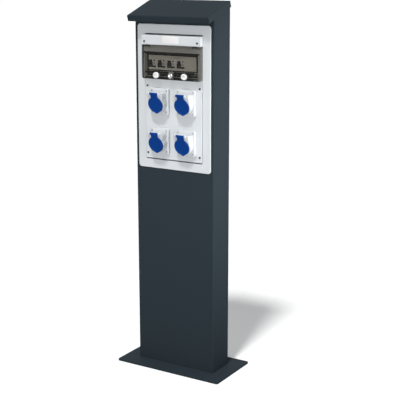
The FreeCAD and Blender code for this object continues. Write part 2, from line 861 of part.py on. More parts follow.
def make_dark_screws():
    """Four screws of the panel and two of the cover."""
    panel_screws = [
        dark_screw(f"{side} * screw_x", row, "panel_proud")
        for side in SIDES
        for row in screw_rows()[:2]
    ]
    piece(group("panel_screws", *panel_screws), "panel_screws")
    cover_screws = [
        dark_screw(f"{side} * screw_x", "screw_strip_row", "cover_strip_face")
        for side in SIDES
    ]
    piece(group("cover_screws", *cover_screws), "cover_screws")


def knuckle_pair(side):
    """Return the X pair of one hinge knuckle of the window."""
    middle = "hinge_spacing / 2"
    return side_pair(side, f"{middle} - knuckle_width / 2", f"{middle} + knuckle_width / 2")


def make_cover():
    """Raised module cover: a face with two openings, a thicker strip on top and the hinge lugs."""
    lower = box("cover_block", both_ways("cover_side"), proud("panel_proud", "cover_face"),
                ("cover_foot", "cover_high"))
    at_foot = lambda edge: along(Y_AXIS)(edge) and edge.CenterOfMass.z < places.strip_low
    lower = rounded("cover_rounded", lower, SIZES["window_corner"] - SIZES["window_wall"], at_foot)
    strip = box("strip_block", both_ways("cover_width / 2"), proud("panel_proud", "cover_strip_face"),
                ("strip_low", "cover_high"))
    at_front = at_depth(SIZES["cover_strip_face"])
    top_front = lambda edge: at_front(edge) and edge.CenterOfMass.z > places.cover_high - 0.01
    strip = bevelled("strip_bevelled", strip, SIZES["cover_bevel"], top_front)
    inner = both_ways("cover_side - cover_wall")
    hollow = box("cover_hollow", inner, proud(0, "cover_face - cover_wall"),
                 ("cover_foot + cover_wall", "cover_high - cover_wall"))
    strip_hollow = box("strip_hollow", inner, proud(0, "cover_strip_face - cover_wall"),
                       ("strip_low + cover_wall", "cover_high - cover_wall"))
    shell = cut("cover_shell", fuse("cover_outside", lower, strip), hollow, strip_hollow)
    added = []
    for side in SIDES:
        added.append(rod("cover_post", f"{side} * screw_x", proud("panel_proud", f"cover_strip_face - {LAP}"),
                         "screw_strip_row", "post_radius"))
        knuckle_in = "hinge_spacing / 2 - knuckle_width / 2 - hinge_gap"
        knuckle_out = "hinge_spacing / 2 + knuckle_width / 2 + hinge_gap"
        for x in (side_pair(side, f"{knuckle_in} - lug_width", knuckle_in),
                  side_pair(side, knuckle_out, f"{knuckle_out} + lug_width")):
            added.append(box("hinge_lug", x, proud(f"cover_face - {LAP}", "window_face - lug_front"),
                             ("hinge_z", f"strip_low + {LAP}")))
            added.append(rod("hinge_lug_end", x, "face_y - hinge_proud", "hinge_z", "lug_drop"))
    holes = [
        box("aperture", both_ways("aperture_width / 2"), proud(0, f"cover_face + {PAST}"),
            ("aperture_bottom", "aperture_top")),
        box("trough", both_ways("trough_width / 2"), proud(0, f"cover_face + {PAST}"),
            ("trough_bottom", "trough_top")),
        rod("lock_way", 0, proud(0, f"cover_face + {PAST}"), "knob_z", "lock_way"),
    ]
    for side in SIDES:
        holes.append(rod("cover_screw_way", f"{side} * screw_x", proud(0, f"cover_strip_face + {PAST}"),
                         "screw_strip_row", "screw_radius"))
        whole = side_pair(side, "hinge_spacing / 2 - knuckle_width", "hinge_spacing / 2 + knuckle_width")
        holes.append(rod("lug_bore", whole, "face_y - hinge_proud", "hinge_z", "window_pin_radius"))
        low, high = knuckle_pair(side)
        holes.append(rod("knuckle_space", (f"{low} - hinge_gap", f"{high} + hinge_gap"),
                         "face_y - hinge_proud", "hinge_z", "knuckle_radius + hinge_gap"))
    piece(cut("module_cover", fuse("cover_with_lugs", shell, *added), *holes), "module_cover")
    label = box("label_plate", both_ways("label_width / 2"),
                proud("cover_strip_face", "cover_strip_face + label_thickness"),
                ("cover_high - cover_bevel - label_height", "cover_high - cover_bevel"))
    piece(label, "label_plate")


def make_ribbed_strip():
    """Black ribbed strip in the trough below the breakers."""
    x = both_ways("trough_width / 2 - ribbed_margin")
    z = ("trough_bottom + ribbed_margin", "trough_top - ribbed_margin")
    sheet_top = "panel_proud + ribbed_sheet"
    parts = [box("ribbed_sheet_block", x, proud("panel_proud", sheet_top), z)]
    count = int((places.trough_width / 2 - SIZES["ribbed_margin"]) / SIZES["rib_pitch"] - 0.5)
    for step in range(-count, count + 1):
        middle = f"{step} * rib_pitch"
        parts.append(box("rib", (f"{middle} - rib_width / 2", f"{middle} + rib_width / 2"),
                         proud(f"{sheet_top} - {LAP}", f"{sheet_top} + rib_height"), z))
    piece(fuse("ribbed_strip", *parts), "ribbed_strip")


def window_shell(name, inset, proud_pair):
    """Make a block with the window's outline, drawn in by an inset and rounded at its two lower corners."""
    block = box(name, both_ways(f"cover_width / 2 - {inset}"), proud_pair,
                (f"cover_low + {inset}", "window_top"))
    low_corner = lambda edge: along(Y_AXIS)(edge) and edge.CenterOfMass.z < places.knob_z
    radius = SIZES["window_corner"] - (SIZES["window_wall"] if inset else 0)
    return rounded(name + "_rounded", block, radius, low_corner)


def make_window():
    """Smoky tray-shaped window with two hinge knuckles at its top, and the pins that carry it."""
    outside = window_shell("window_outside", 0, proud("window_foot", "window_face"))
    outside = bevelled("window_bevelled", outside, SIZES["window_bevel"], at_depth(SIZES["window_face"]))
    hollow = window_shell("window_hollow", "window_wall", proud(f"window_foot - {PAST}", "window_back"))
    open_top = box("window_open_top", both_ways("cover_width / 2 - window_wall"),
                   proud(f"window_foot - {PAST}", "window_back"), ("hinge_z", f"window_top + {PAST}"))
    plate = cut("window_tray", outside, hollow, open_top)
    notches = []
    knuckles = []
    bores = []
    pins = []
    axis_y = "face_y - hinge_proud"
    for side in SIDES:
        reach = "knuckle_width / 2 + hinge_gap + lug_width"
        wide = side_pair(side, f"hinge_spacing / 2 - ({reach}) - hinge_gap",
                         f"hinge_spacing / 2 + {reach} + hinge_gap")
        notches.append(box("window_notch", wide, proud(0, f"window_face + {PAST}"),
                           ("hinge_z - lug_drop - hinge_gap", f"window_top + {PAST}")))
        knuckle = knuckle_pair(side)
        knuckles.append(rod("knuckle", knuckle, axis_y, "hinge_z", "knuckle_radius"))
        knuckles.append(box("knuckle_web", knuckle, proud("window_back", "window_face"),
                            ("hinge_z - lug_drop - 2 * hinge_gap", "hinge_z")))
        whole = side_pair(side, f"hinge_spacing / 2 - ({reach})", f"hinge_spacing / 2 + {reach}")
        bores.append(rod("knuckle_bore", whole, axis_y, "hinge_z", "window_pin_radius + shaft_clearance"))
        pins.append(rod("window_pin", whole, axis_y, "hinge_z", "window_pin_radius"))
    for side in SIDES:
        bores.append(rod("stem_bore", f"{side} * knob_spacing / 2", proud(0, f"window_face + {PAST}"),
                         "knob_z", "stem_radius + shaft_clearance"))
    bores.append(rod("lock_bore", "0", proud(0, f"window_face + {PAST}"), "knob_z", "lock_sleeve"))
    notched = cut("window_notched", plate, *notches)
    piece(cut("window", fuse("window_with_knuckles", notched, *knuckles), *bores), "window")
    piece(group("window_pins", *pins), "window_pins")


def make_knob(side, label):
    """Round quarter-turn knob with its stem and latch tongue."""
    x = f"{side} * knob_spacing / 2"
    cap_back = "window_face + knob_gap"
    cap_front = "window_face + knob_gap + knob_height"
    bevel_back = f"{cap_front} - knob_bevel"
    cap = rod("knob_cap", x, proud(cap_back, bevel_back), "knob_z", "knob_radius")
    rim = cone("knob_rim", x, proud(bevel_back, cap_front), "knob_z",
               ("knob_radius - knob_bevel", "knob_radius"))
    slot = box("knob_slot", (f"{x} - knob_radius", f"{x} + knob_radius"),
               proud(f"{cap_front} - knob_slot_depth", f"{cap_front} + {PAST}"),
               ("knob_z - knob_slot_width / 2", "knob_z + knob_slot_width / 2"))
    stem = rod("knob_stem", x, proud("tongue_back", f"{cap_back} + {LAP}"), "knob_z", "stem_radius")
    tongue = box("knob_tongue", (x, f"{x} + tongue_length"), proud("tongue_back", "tongue_front"),
                 ("knob_z - tongue_width / 2", "knob_z + tongue_width / 2"))
    piece(cut("knob", fuse("knob_blank", cap, rim, stem, tongue), slot), label)


def make_lock():
    """Key lock: a chrome body in the window, a turning barrel with a key slot and its cam."""
    collar = rod("lock_collar", "0", proud("window_face", "window_face + lock_height"), "knob_z",
                 "lock_radius")
    sleeve = rod("lock_tube", "0", proud("cam_front + knob_gap", f"window_face + {LAP}"), "knob_z",
                 "lock_sleeve")
    bore = rod("barrel_bore", "0", proud(0, f"window_face + lock_height + {PAST}"), "knob_z",
               "barrel_radius + shaft_clearance")
    piece(cut("lock_body", fuse("lock_blank", collar, sleeve), bore), "lock_body")
    front = "window_face + lock_height - barrel_recess"
    barrel = rod("barrel", "0", proud("cam_front", front), "knob_z", "barrel_radius")
    slot = box("key_slot", both_ways("key_slot_width / 2"),
               proud(f"{front} - key_slot_depth", f"{front} + {PAST}"),
               ("knob_z - key_slot_length / 2", "knob_z + key_slot_length / 2"))
    piece(cut("lock_barrel", barrel, slot), "lock_barrel")
    cam = box("cam_block", ("-barrel_radius", "cam_length"), proud("cam_back", "cam_front"),
              ("knob_z - cam_width / 2", "knob_z + cam_width / 2"))
    piece(cam, "lock_cam")


def breaker_middle(number):
    """Return the X of a two-module place on the rail, counted from the left."""
    return f"module_left + {2 * number + 1} * module_width"


def module_body(number):
    """Make a two-module body with its nose and the groove that clips on the rail."""
    middle = breaker_middle(number)
    half = "module_width - module_gap / 2"
    x = (f"{middle} - ({half})", f"{middle} + {half}")
    back = "rail_proud - rail_hook"
    body = box("module_block", x, proud(back, "shoulder_proud"),
               ("module_z - module_height / 2", "module_z + module_height / 2"))
    nose = box("module_nose", x, proud(f"shoulder_proud - {LAP}", "nose_proud"),
               ("module_z - nose_height / 2", "module_z + nose_height / 2"))
    groove = box("rail_groove", (f"{x[0]} - {PAST}", f"{x[1]} + {PAST}"),
                 proud(f"{back} - {PAST}", "rail_proud"),
                 ("module_z - rail_width / 2 - rail_fit", "module_z + rail_width / 2 + rail_fit"))
    return cut("module_body", fuse("module_solid", body, nose), groove)


def make_breaker(number):
    """Residual-current breaker, with its lever and test button as pieces of their own."""
    middle = breaker_middle(number)
    lever_x = f"{middle} - lever_offset"
    button_x = f"{middle} + button_offset"
    button_z = "module_z - button_drop"
    pivot_y = "face_y - pivot_proud"
    well_half = "lever_width / 2 + lever_gap"
    well = box("lever_well", (f"{lever_x} - ({well_half})", f"{lever_x} + {well_half}"),
               proud("pivot_proud - lever_hub - lever_gap", f"nose_proud + {PAST}"),
               ("module_z - lever_reach + lever_well_inset", "module_z + lever_reach - lever_well_inset"))
    axle_half = "lever_width / 2 + lever_gap + lever_axle_reach"
    bore_x = (f"{lever_x} - ({axle_half}) - lever_gap", f"{lever_x} + {axle_half} + lever_gap")
    axle_bore = rod("axle_bore", bore_x, pivot_y, "module_z", "lever_axle_radius + shaft_clearance")
    button_back = "nose_proud + button_proud - button_length"
    bore_y = proud(f"{button_back} - button_travel - lever_gap", f"nose_proud + {PAST}")
    button_bore = rod("button_bore", button_x, bore_y, button_z, "button_radius + shaft_clearance")
    piece(cut("breaker", module_body(number), well, axle_bore, button_bore), f"breaker_{number + 1}")

    hub = rod("lever_round", (f"{lever_x} - lever_width / 2", f"{lever_x} + lever_width / 2"), pivot_y,
              "module_z", "lever_hub")
    axle = rod("lever_axle", (f"{lever_x} - ({axle_half})", f"{lever_x} + {axle_half}"), pivot_y, "module_z",
               "lever_axle_radius")
    seat_on = (lever_x, pivot_y, "module_z", "(-lever_throw)")
    handle = box("lever_handle", both_ways("lever_width / 2"), ("-lever_reach", 0),
                 both_ways("lever_thickness / 2"), seat_on)
    piece(fuse("lever", hub, axle, handle), f"breaker_lever_{number + 1}")

    button = rod("test_button", button_x, proud(button_back, "nose_proud + button_proud"), button_z,
                 "button_radius")
    piece(button, f"test_button_{number + 1}")


def make_rail():
    """Top-hat rail for the modules."""
    x = both_ways("rail_length / 2")
    half = "rail_width / 2"
    back = "rail_proud - rail_depth"
    block = box("rail_block", x, proud(back, "rail_proud"), (f"module_z - {half}", f"module_z + {half}"))
    long_x = both_ways(f"rail_length / 2 + {PAST}")
    channel = box("rail_channel", long_x, proud(f"{back} + rail_sheet", f"rail_proud + {PAST}"),
                  (f"module_z - {half} + rail_lip + rail_sheet",
                   f"module_z + {half} - rail_lip - rail_sheet"))
    under = [
        box("rail_under", long_x, proud(f"{back} - {PAST}", "rail_proud - rail_sheet"), z)
        for z in ((f"module_z - {half} - {PAST}", f"module_z - {half} + rail_lip"),
                  (f"module_z + {half} - rail_lip", f"module_z + {half} + {PAST}"))
    ]
    piece(cut("din_rail", block, channel, *under), "din_rail")


def socket_seat(x, z):
    """Return the tilted frame of a socket: its origin is the middle of the lid's outer face."""
    return (x, "face_y - lid_proud", f"{z} - lid_low", "socket_tilt")


def make_socket(number, x, z):
    """Angled socket outlet: housing with its flange and collar, insert and hinged lid."""
    tilt = socket_seat(x, z)
    flange = box("flange_block", (f"{x} - flange_width / 2", f"{x} + flange_width / 2"),
                 proud("flange_back", "flange_face"),
                 (f"{z} - flange_height / 2", f"{z} + flange_height / 2"))
    flange = rounded("flange_rounded", flange, SIZES["flange_corner"], along(Y_AXIS))
    flange = bevelled("flange_bevelled", flange, SIZES["flange_bevel"], at_depth(SIZES["flange_face"]))
    collar = cone("collar", "0", ("mouth_depth", "mouth_depth + collar_length"), "0",
                  ("collar_radius", "collar_radius + collar_spread"), tilt)
    hood = box("hood", (f"{x} - hood_width / 2", f"{x} + hood_width / 2"),
               proud("flange_back", f"flange_back + {FAR}"), (z, f"{z} + hood_height"))
    before_mouth = box("before_mouth", (-FAR, FAR), (-FAR, "mouth_depth"), (-FAR, FAR), tilt)
    behind_flange = box("behind_flange", (-FAR, FAR), proud(-FAR, "flange_back"),
                        (0, "2 * roof_front_height"))
    outer = cut("socket_outer", fuse("collar_and_hood", collar, hood), before_mouth, behind_flange)
    rear = rod("socket_rear", "0", ("mouth_depth + collar_length / 2", "socket_rear_depth"), "0",
               "socket_rear_radius", tilt)
    axis_depth = "lid_bar_radius"
    lugs = [
        rod("lid_lug", side_pair(side, "lug_inner", "lug_outer"), axis_depth, "lid_bar_rise",
            "lid_lug_radius", tilt)
        for side in SIDES
    ]
    bore = rod("socket_bore", "0", (-PAST, f"socket_rear_depth + {PAST}"), "0", "socket_bore_radius", tilt)
    keyway = box("keyway", both_ways("keyway_width / 2"),
                 (f"mouth_depth - {PAST}", "mouth_depth + keyway_length"),
                 ("-socket_bore_radius - keyway_depth", f"-socket_bore_radius + {PAST}"), tilt)
    bar_space = rod("bar_space", both_ways("lug_inner"), axis_depth, "lid_bar_rise",
                    "lid_bar_radius + lid_gap", tilt)
    pin_way = rod("pin_way", both_ways("lug_outer"), axis_depth, "lid_bar_rise",
                  "lid_pin_radius", tilt)
    screw_ways = [
        rod("flange_way", f"{x} + {side} * flange_screw_wide / 2", proud(0, f"flange_face + {PAST}"),
            f"{z} + {end} * flange_screw_tall / 2", "flange_screw_radius")
        for side in SIDES
        for end in SIDES
    ]
    solid = fuse("socket_solid", outer, flange, rear, *lugs)
    housing = cut("socket_housing", solid, bore, keyway, bar_space, pin_way, *screw_ways)
    piece(housing, f"socket_housing_{number}")

    insert = fuse(
        "insert_blank",
        rod("insert_core", "0", ("insert_recess", f"socket_rear_depth + {LAP}"), "0",
            "socket_bore_radius - insert_clearance", tilt),
        rod("insert_back", "0", ("socket_rear_depth", "socket_rear_depth + insert_flange"), "0",
            "socket_rear_radius", tilt),
    )
    ways = [
        rod("contact_way", across, (f"insert_recess - {PAST}", "insert_recess + contact_depth"), up,
            "contact_radius", tilt)
        for across, up in contact_places()
    ]
    piece(cut("socket_insert", insert, *ways), f"socket_insert_{number}")

    disc = rod("lid_disc", "0", ("lid_bevel", "lid_thickness"), "0", "lid_radius", tilt)
    rim = cone("lid_rim", "0", (0, "lid_bevel"), "0", ("lid_radius - lid_bevel", "lid_radius"), tilt)
    neck = box("lid_neck", both_ways("lid_neck_width / 2"), (0, "lid_thickness"), (0, "lid_bar_rise"), tilt)
    before_lid = box("before_lid", (-FAR, FAR), (-FAR, "lid_bevel"), (-FAR, FAR), tilt)
    behind_lid = box("behind_lid", (-FAR, FAR), ("lid_thickness", FAR), (-FAR, FAR), tilt)
    chin_cone = cone("chin_cone", "0", "lid_thickness / 2",
                     ("-lid_radius - lid_chin_reach", "-lid_chin_height"),
                     ("lid_chin_tip", "lid_chin_half"), tilt)
    chin = cut("lid_chin", chin_cone, before_lid, behind_lid)
    boss = rod("lid_boss", "0", (f"lid_thickness - {LAP}", "lid_thickness + lid_boss_height"), "0",
               "lid_boss_radius", tilt)
    bar = rod("lid_bar", both_ways("bar_half"), axis_depth, "lid_bar_rise", "lid_bar_radius", tilt)
    pin_bore = rod("lid_pin_bore", both_ways(f"lug_outer + {PAST}"), axis_depth, "lid_bar_rise",
                   "lid_pin_radius + shaft_clearance", tilt)
    piece(cut("lid", fuse("lid_blank", disc, rim, neck, chin, boss, bar), pin_bore), f"socket_lid_{number}")


def contact_places():
    """List the three contact holes about a socket's axis, with the earth contact at the bottom."""
    return [
        (f"contact_circle * sin({angle})", f"-contact_circle * cos({angle})")
        for angle in (0, 120, 240)
    ]


def make_socket_small_parts():
    """Contact sleeves, flange gaskets, flange screws and lid pins of all four sockets."""
    sleeves = []
    gaskets = []
    pins = []
    for x, z in socket_places():
        tilt = socket_seat(x, z)
        for across, up in contact_places():
            depth = ("insert_recess + contact_sink", "insert_recess + contact_depth")
            sleeve = rod("sleeve_blank", across, depth, up, "contact_radius", tilt)
            bore_end = "insert_recess + contact_depth - contact_floor"
            way = rod("sleeve_bore", across, (f"insert_recess - {PAST}", bore_end), up, "contact_bore", tilt)
            sleeves.append(cut("sleeve", sleeve, way))
        half_wide = "(flange_width / 2 - gasket_inset)"
        half_tall = "(flange_height / 2 - gasket_inset)"
        gasket = box("gasket_block", (f"{x} - {half_wide}", f"{x} + {half_wide}"),
                     proud("panel_proud", "flange_back"), (f"{z} - {half_tall}", f"{z} + {half_tall}"))
        hole = rod("gasket_hole", x, proud(0, "flange_face"), z, "socket_hole_radius")
        screw_holes = [
            rod("gasket_way", f"{x} + {side} * flange_screw_wide / 2", proud(0, "flange_face"),
                f"{z} + {end} * flange_screw_tall / 2", "flange_screw_radius")
            for side in SIDES
            for end in SIDES
        ]
        gaskets.append(cut("gasket", gasket, hole, *screw_holes))
        pins.append(rod("lid_pin", both_ways("lug_outer"), "lid_bar_radius", "lid_bar_rise",
                        "lid_pin_radius", tilt))
    piece(group("socket_contacts", *sleeves), "socket_contacts")
    piece(group("socket_gaskets", *gaskets), "socket_gaskets")
    piece(group("lid_hinge_pins", *pins), "lid_hinge_pins")
    screws = []
    for x, z in flange_screw_places():
        shank = rod("flange_shank", x, proud("flange_face - flange_screw_length", f"flange_face + {LAP}"), z,
                    "flange_screw_radius")
        head = rod("flange_head", x, proud("flange_face", "flange_face + flange_screw_head_height"), z,
                   "flange_screw_head")
        screws.append(fuse("flange_screw", shank, head))
    piece(group("flange_screws", *screws), "flange_screws")


def make_terminals():
    """Terminal block and earth bar on the back box's rear wall."""
    block = box("terminal_blank", both_ways("terminal_width / 2"), proud("box_floor", "terminal_front"),
                ("terminal_low", "terminal_high"))
    ways = []
    for step in range(-SIZES["terminal_side"], SIZES["terminal_side"] + 1):
        x = f"{step} * terminal_pitch"
        ways.append(rod("wire_way", x, "face_y - wire_proud",
                        (f"terminal_low - {PAST}", f"terminal_high + {PAST}"), "lead_radius + lead_fit"))
        ways.append(rod("terminal_screw_way", x, proud("wire_proud", f"terminal_front + {PAST}"),
                        "(terminal_low + terminal_high) / 2", "terminal_screw"))
    piece(cut("terminal_block", block, *ways), "terminal_block")
    earth_low = "box_low + box_wall + earth_rise"
    earth_back = "box_floor + earth_standoff"
    z = (earth_low, f"{earth_low} + earth_height")
    bar = box("earth_bar_block", both_ways("earth_width / 2"),
              proud(earth_back, f"{earth_back} + earth_thickness"), z)
    legs = [
        box("earth_leg", side_pair(side, "earth_width / 2 - earth_height", "earth_width / 2"),
            proud("box_floor", f"{earth_back} + {LAP}"), z)
        for side in SIDES
    ]
    screws = [
        rod("earth_screw_way", f"{step} * terminal_pitch", proud("box_floor", 0),
            f"{earth_low} + earth_height / 2", "terminal_screw")
        for step in (-2, -1, 0, 1, 2)
    ]
    piece(cut("earth_bar", fuse("earth_blank", bar, *legs), *screws), "earth_bar")


def make_gland():
    """Cable gland in the back box's floor, with its locknut inside the box."""
    y = "face_y + gland_depth"
    flange_low = "box_low - gland_flange_height"
    nut_low = f"{flange_low} - gland_nut_height"
    locknut_top = "box_low + box_wall + locknut_height"
    parts = [
        rod("gland_tube", "0", y, (f"box_low - {LAP}", f"{locknut_top} + gland_thread_end"), "gland_thread"),
        hex_rod("gland_collar", "0", y, (flange_low, "box_low"), "gland_flange"),
        cone("gland_nut", "0", y, (nut_low, flange_low), ("gland_bore + gland_lip", "gland_nut_radius")),
        hex_rod("gland_locknut", "0", y, ("box_low + box_wall", locknut_top), "gland_flange"),
    ]
    bore = rod("gland_way", "0", y, (f"{nut_low} - {PAST}", f"{locknut_top} + gland_thread_end + {PAST}"),
               "gland_bore")
    piece(cut("cable_gland", fuse("gland_blank", *parts), bore), "cable_gland")


def make_leads():
    """Straight leads from the terminal block up to the breakers' lower terminals."""
    leads = [
        rod("lead", f"{step} * terminal_pitch", "face_y - wire_proud",
            ("terminal_high - lead_entry", "module_z - module_height / 2"), "lead_radius")
        for step in range(-SIZES["terminal_side"], SIZES["terminal_side"] + 1)
    ]
    piece(group("feed_leads", *leads), "feed_leads")


make_base_plate()
make_column()
make_rear_panel()
make_foot_angles()
make_roof()
make_frame()
make_back_box()
make_panel()
make_dark_screws()
make_cover()
make_ribbed_strip()
make_window()
make_knob(-1, "knob_left")
make_knob(1, "knob_right")
make_lock()
make_rail()
for breaker_number in range(MODULE_PLACES - 1):
    make_breaker(breaker_number)
piece(module_body(MODULE_PLACES - 1), "blanking_module")
for socket_number, (socket_x, socket_z) in enumerate(socket_places(), start=1):
    make_socket(socket_number, socket_x, socket_z)
make_socket_small_parts()
make_terminals()
make_gland()
make_leads()

doc.recompute()

for obj in doc.Objects:
    for state in ("Invalid", "Error"):
        if state in obj.State:
            raise RuntimeError(f"{obj.Name} ({obj.Label}) is {state}")
for obj in pieces:
    if obj.Shape.isNull() or not obj.Shape.isValid():
        raise RuntimeError(f"{obj.Label} has no valid shape")

os.makedirs("parts", exist_ok=True)
for obj in pieces:
    obj.Shape.exportStep(f"parts/{obj.Label}.step")
    print(f"{obj.Label}: {len(obj.Shape.Solids)} solids, {obj.Shape.Volume / 1000:.2f} cm3")
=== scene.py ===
"""Looks of a distribution pillar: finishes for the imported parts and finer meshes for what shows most.

The scene is in metres in the pillar's own frame, X to the right, Y to the back and Z up.
Sizes of pieces and finishes are in millimetres, and the seats of the pieces turn them into metres.
Depths called "proud" are measured forwards from the front face of the column.
"Half" is half of a width or a height, and a "span" runs from a foot to a top.
"""
import json
import logging
import math
from dataclasses import dataclass
from enum import Enum, StrEnum, auto
from functools import reduce
from itertools import product
from typing import Callable, Iterable, Sequence

import bmesh
import bpy
from mathutils import Matrix, Vector


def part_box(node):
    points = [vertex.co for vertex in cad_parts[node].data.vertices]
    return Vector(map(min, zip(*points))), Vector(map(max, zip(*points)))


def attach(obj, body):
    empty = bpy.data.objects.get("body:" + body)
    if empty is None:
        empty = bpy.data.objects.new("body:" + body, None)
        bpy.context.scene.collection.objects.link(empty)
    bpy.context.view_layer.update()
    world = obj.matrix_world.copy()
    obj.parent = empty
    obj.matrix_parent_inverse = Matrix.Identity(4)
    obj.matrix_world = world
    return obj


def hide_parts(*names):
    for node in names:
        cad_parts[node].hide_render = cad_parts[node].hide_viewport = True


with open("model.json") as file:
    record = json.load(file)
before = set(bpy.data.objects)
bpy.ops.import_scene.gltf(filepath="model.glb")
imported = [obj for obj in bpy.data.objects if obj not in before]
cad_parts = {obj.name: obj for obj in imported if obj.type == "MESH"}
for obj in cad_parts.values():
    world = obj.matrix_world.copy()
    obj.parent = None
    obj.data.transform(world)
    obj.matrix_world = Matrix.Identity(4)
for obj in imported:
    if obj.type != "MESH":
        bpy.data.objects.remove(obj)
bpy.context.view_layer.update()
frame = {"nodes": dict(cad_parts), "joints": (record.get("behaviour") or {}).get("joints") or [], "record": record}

LOG = logging.getLogger("pillar")

MM = 0.001
SPOKES = 64
CORNER_STEPS = 6
EDGE_TURNS = tuple(math.radians(angle) for angle in (30, 60, 90))
CRISP_TURN = math.radians(32)
TINY = 1e-6
FACE_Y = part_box("column")[0].y / MM

Point = tuple[float, float, float]
Flat = tuple[float, float]
Outline = list[Flat]
Reach = Callable[[float], float]
Layer = tuple[Outline, float]
Tone = tuple[int, int, int]
Steps = tuple[int, ...]
Shade = tuple[float, float, float, float]
Socket = bpy.types.NodeSocket
Node = bpy.types.Node
Tree = bpy.types.NodeTree
Material = bpy.types.Material


class Side(Enum):
    """The left or right side, seen from the front."""

    LEFT = -1
    RIGHT = 1


class Drive(Enum):
    """What a screw head is turned with."""

    HEX = "hex"
    CROSS = "cross"


DRIVE_TAPERS = {Drive.HEX: 0.97, Drive.CROSS: 0.55}


class Slot(StrEnum):
    """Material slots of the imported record."""

    PAINTED_STEEL = auto()
    ZINC_STEEL = auto()
    GREY_MOULDING = auto()
    BOX_MOULDING = auto()
    DARK_SCREW = auto()
    GREY_SCREW = auto()
    LABEL_FILM = auto()
    SMOKY_CLEAR = auto()
    WHITE_PLASTIC = auto()
    CHROME = auto()
    MODULE_PLASTIC = auto()
    LEVER_PLASTIC = auto()
    BUTTON_PLASTIC = auto()
    BLUE_PLASTIC = auto()
    INSERT_PLASTIC = auto()
    BRASS = auto()
    GASKET_RUBBER = auto()
    BLACK_PLASTIC = auto()
    TERMINAL_PLASTIC = auto()
    LEAD_SHEATH = auto()


def joint_axis_point(name: str) -> Vector:
    """Return the point on a joint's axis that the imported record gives, in millimetres."""
    return Vector(next(j for j in frame["joints"] if j["name"] == name)["pos_m"]) / MM


def socket_middles() -> list[Flat]:
    """Return the middle of each socket's flange on the panel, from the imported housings."""
    middles = [sum(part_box(f"socket_housing_{number}"), Vector()) / 2 / MM for number in range(1, 5)]
    return [(middle.x, middle.z) for middle in middles]


def linear(tone: Tone) -> Shade:
    """Turn a colour written from 0 to 255 into the linear colour that a shader takes."""
    shares = (value / 255 for value in tone)
    return (*(s / 12.92 if s <= 0.04045 else ((s + 0.055) / 1.055) ** 2.4 for s in shares), 1.0)


def shaded(colour: Shade, factor: float) -> Shade:
    """Make a linear colour darker or lighter."""
    return (*(part * factor for part in colour[:3]), 1.0)


def feed(tree: Tree, target: Socket, value: object) -> None:
    """Give an input a plain value, or join it to another node's output.

    Args:
        tree: The tree of both nodes.
        target: The input.
        value: The value or the output.
    """
    if isinstance(value, Socket):
        tree.links.new(value, target)
    else:
        target.default_value = value


def add_node(tree: Tree, kind: str, *inputs: object, **values: object) -> Node:
    """Add a node to a tree and fill in its properties and inputs.

    Args:
        tree: The tree that gets the node.
        kind: The node's type, without its ShaderNode prefix.
        *inputs: Values or outputs for the node's first inputs, in their order.
        **values: Properties of the node, or inputs named with underscores for spaces.

    Returns:
        The new node.
    """
    node = tree.nodes.new("ShaderNode" + kind)
    for key, value in values.items():
        if hasattr(node, key):
            setattr(node, key, value)
        else:
            feed(tree, node.inputs[key.replace("_", " ")], value)
    for target, value in zip(node.inputs, inputs):
        feed(tree, target, value)
    return node


def add_object(name: str, data: bpy.types.ID) -> bpy.types.Object:
    """Put a new object with its mesh, lamp or camera in the scene."""
    bpy.context.scene.collection.objects.link(obj := bpy.data.objects.new(name, data))
    return obj


class Effect:
    """A shared node group with named inputs and outputs, built once."""

    def __init__(self, name: str, inputs: dict[str, float], outputs: Sequence[str]) -> None:
        """Open a new group.

        Args:
            name: The group's name.
            inputs: Number inputs with their defaults.
            outputs: What goes out: a Mask, a Normal or both.
        """
        self.tree = bpy.data.node_groups.new(name, "ShaderNodeTree")
        for title, default in inputs.items():
            socket = self.tree.interface.new_socket(title, in_out="INPUT", socket_type="NodeSocketFloat")
            socket.default_value = default
        for title in outputs:
            kind = "NodeSocketVector" if title == "Normal" else "NodeSocketFloat"
            self.tree.interface.new_socket(title, in_out="OUTPUT", socket_type=kind)
        self.given = self.tree.nodes.new("NodeGroupInput").outputs
        self.sent = self.tree.nodes.new("NodeGroupOutput").inputs

    def node(self, kind: str, *inputs: object, **values: object) -> Node:
        """Add a node to the group."""
        return add_node(self.tree, kind, *inputs, **values)

    def math(self, operation: str, first: object, second: object, clamp: bool = False) -> Socket:
        """Return the outcome of a sum of two numbers or outputs."""
        return self.node("Math", first, second, operation=operation, use_clamp=clamp).outputs[0]

    def place(self) -> Socket:
        """Return the place on the object."""
        return self.node("TexCoord").outputs["Object"]

    def noise(self, scale: object, detail: float, rough: float, place: Socket | None = None) -> Socket:
        """Return noise over the object.

        Args:
            scale: How many waves a metre has, as a number or an output; Size stands for the group's own.
            detail: How many finer waves are added.
            rough: How strong the finer waves are.
            place: Where the noise is read, if not at the place on the object.

        Returns:
            The noise, about 0.5 in the mean.
        """
        if scale == "Size":
            scale = self.math("DIVIDE", 1.0, self.given["Size"])
        node = self.node("TexNoise", Vector=place or self.place(), Scale=scale, Detail=detail, Roughness=rough)
        return node.outputs["Fac"]

    def send(self, title: str, value: Socket) -> None:
        """Send a value out of the group."""
        self.tree.links.new(value, self.sent[title])

    def send_patchy(self, mask: Socket, noise: Socket, low: float, high: float) -> None:
        """Send out a mask that noise between two limits breaks up."""
        patches = self.node("MapRange", noise, low, high, clamp=True).outputs["Result"]
        self.send("Mask", self.math("MULTIPLY", mask, patches, clamp=True))


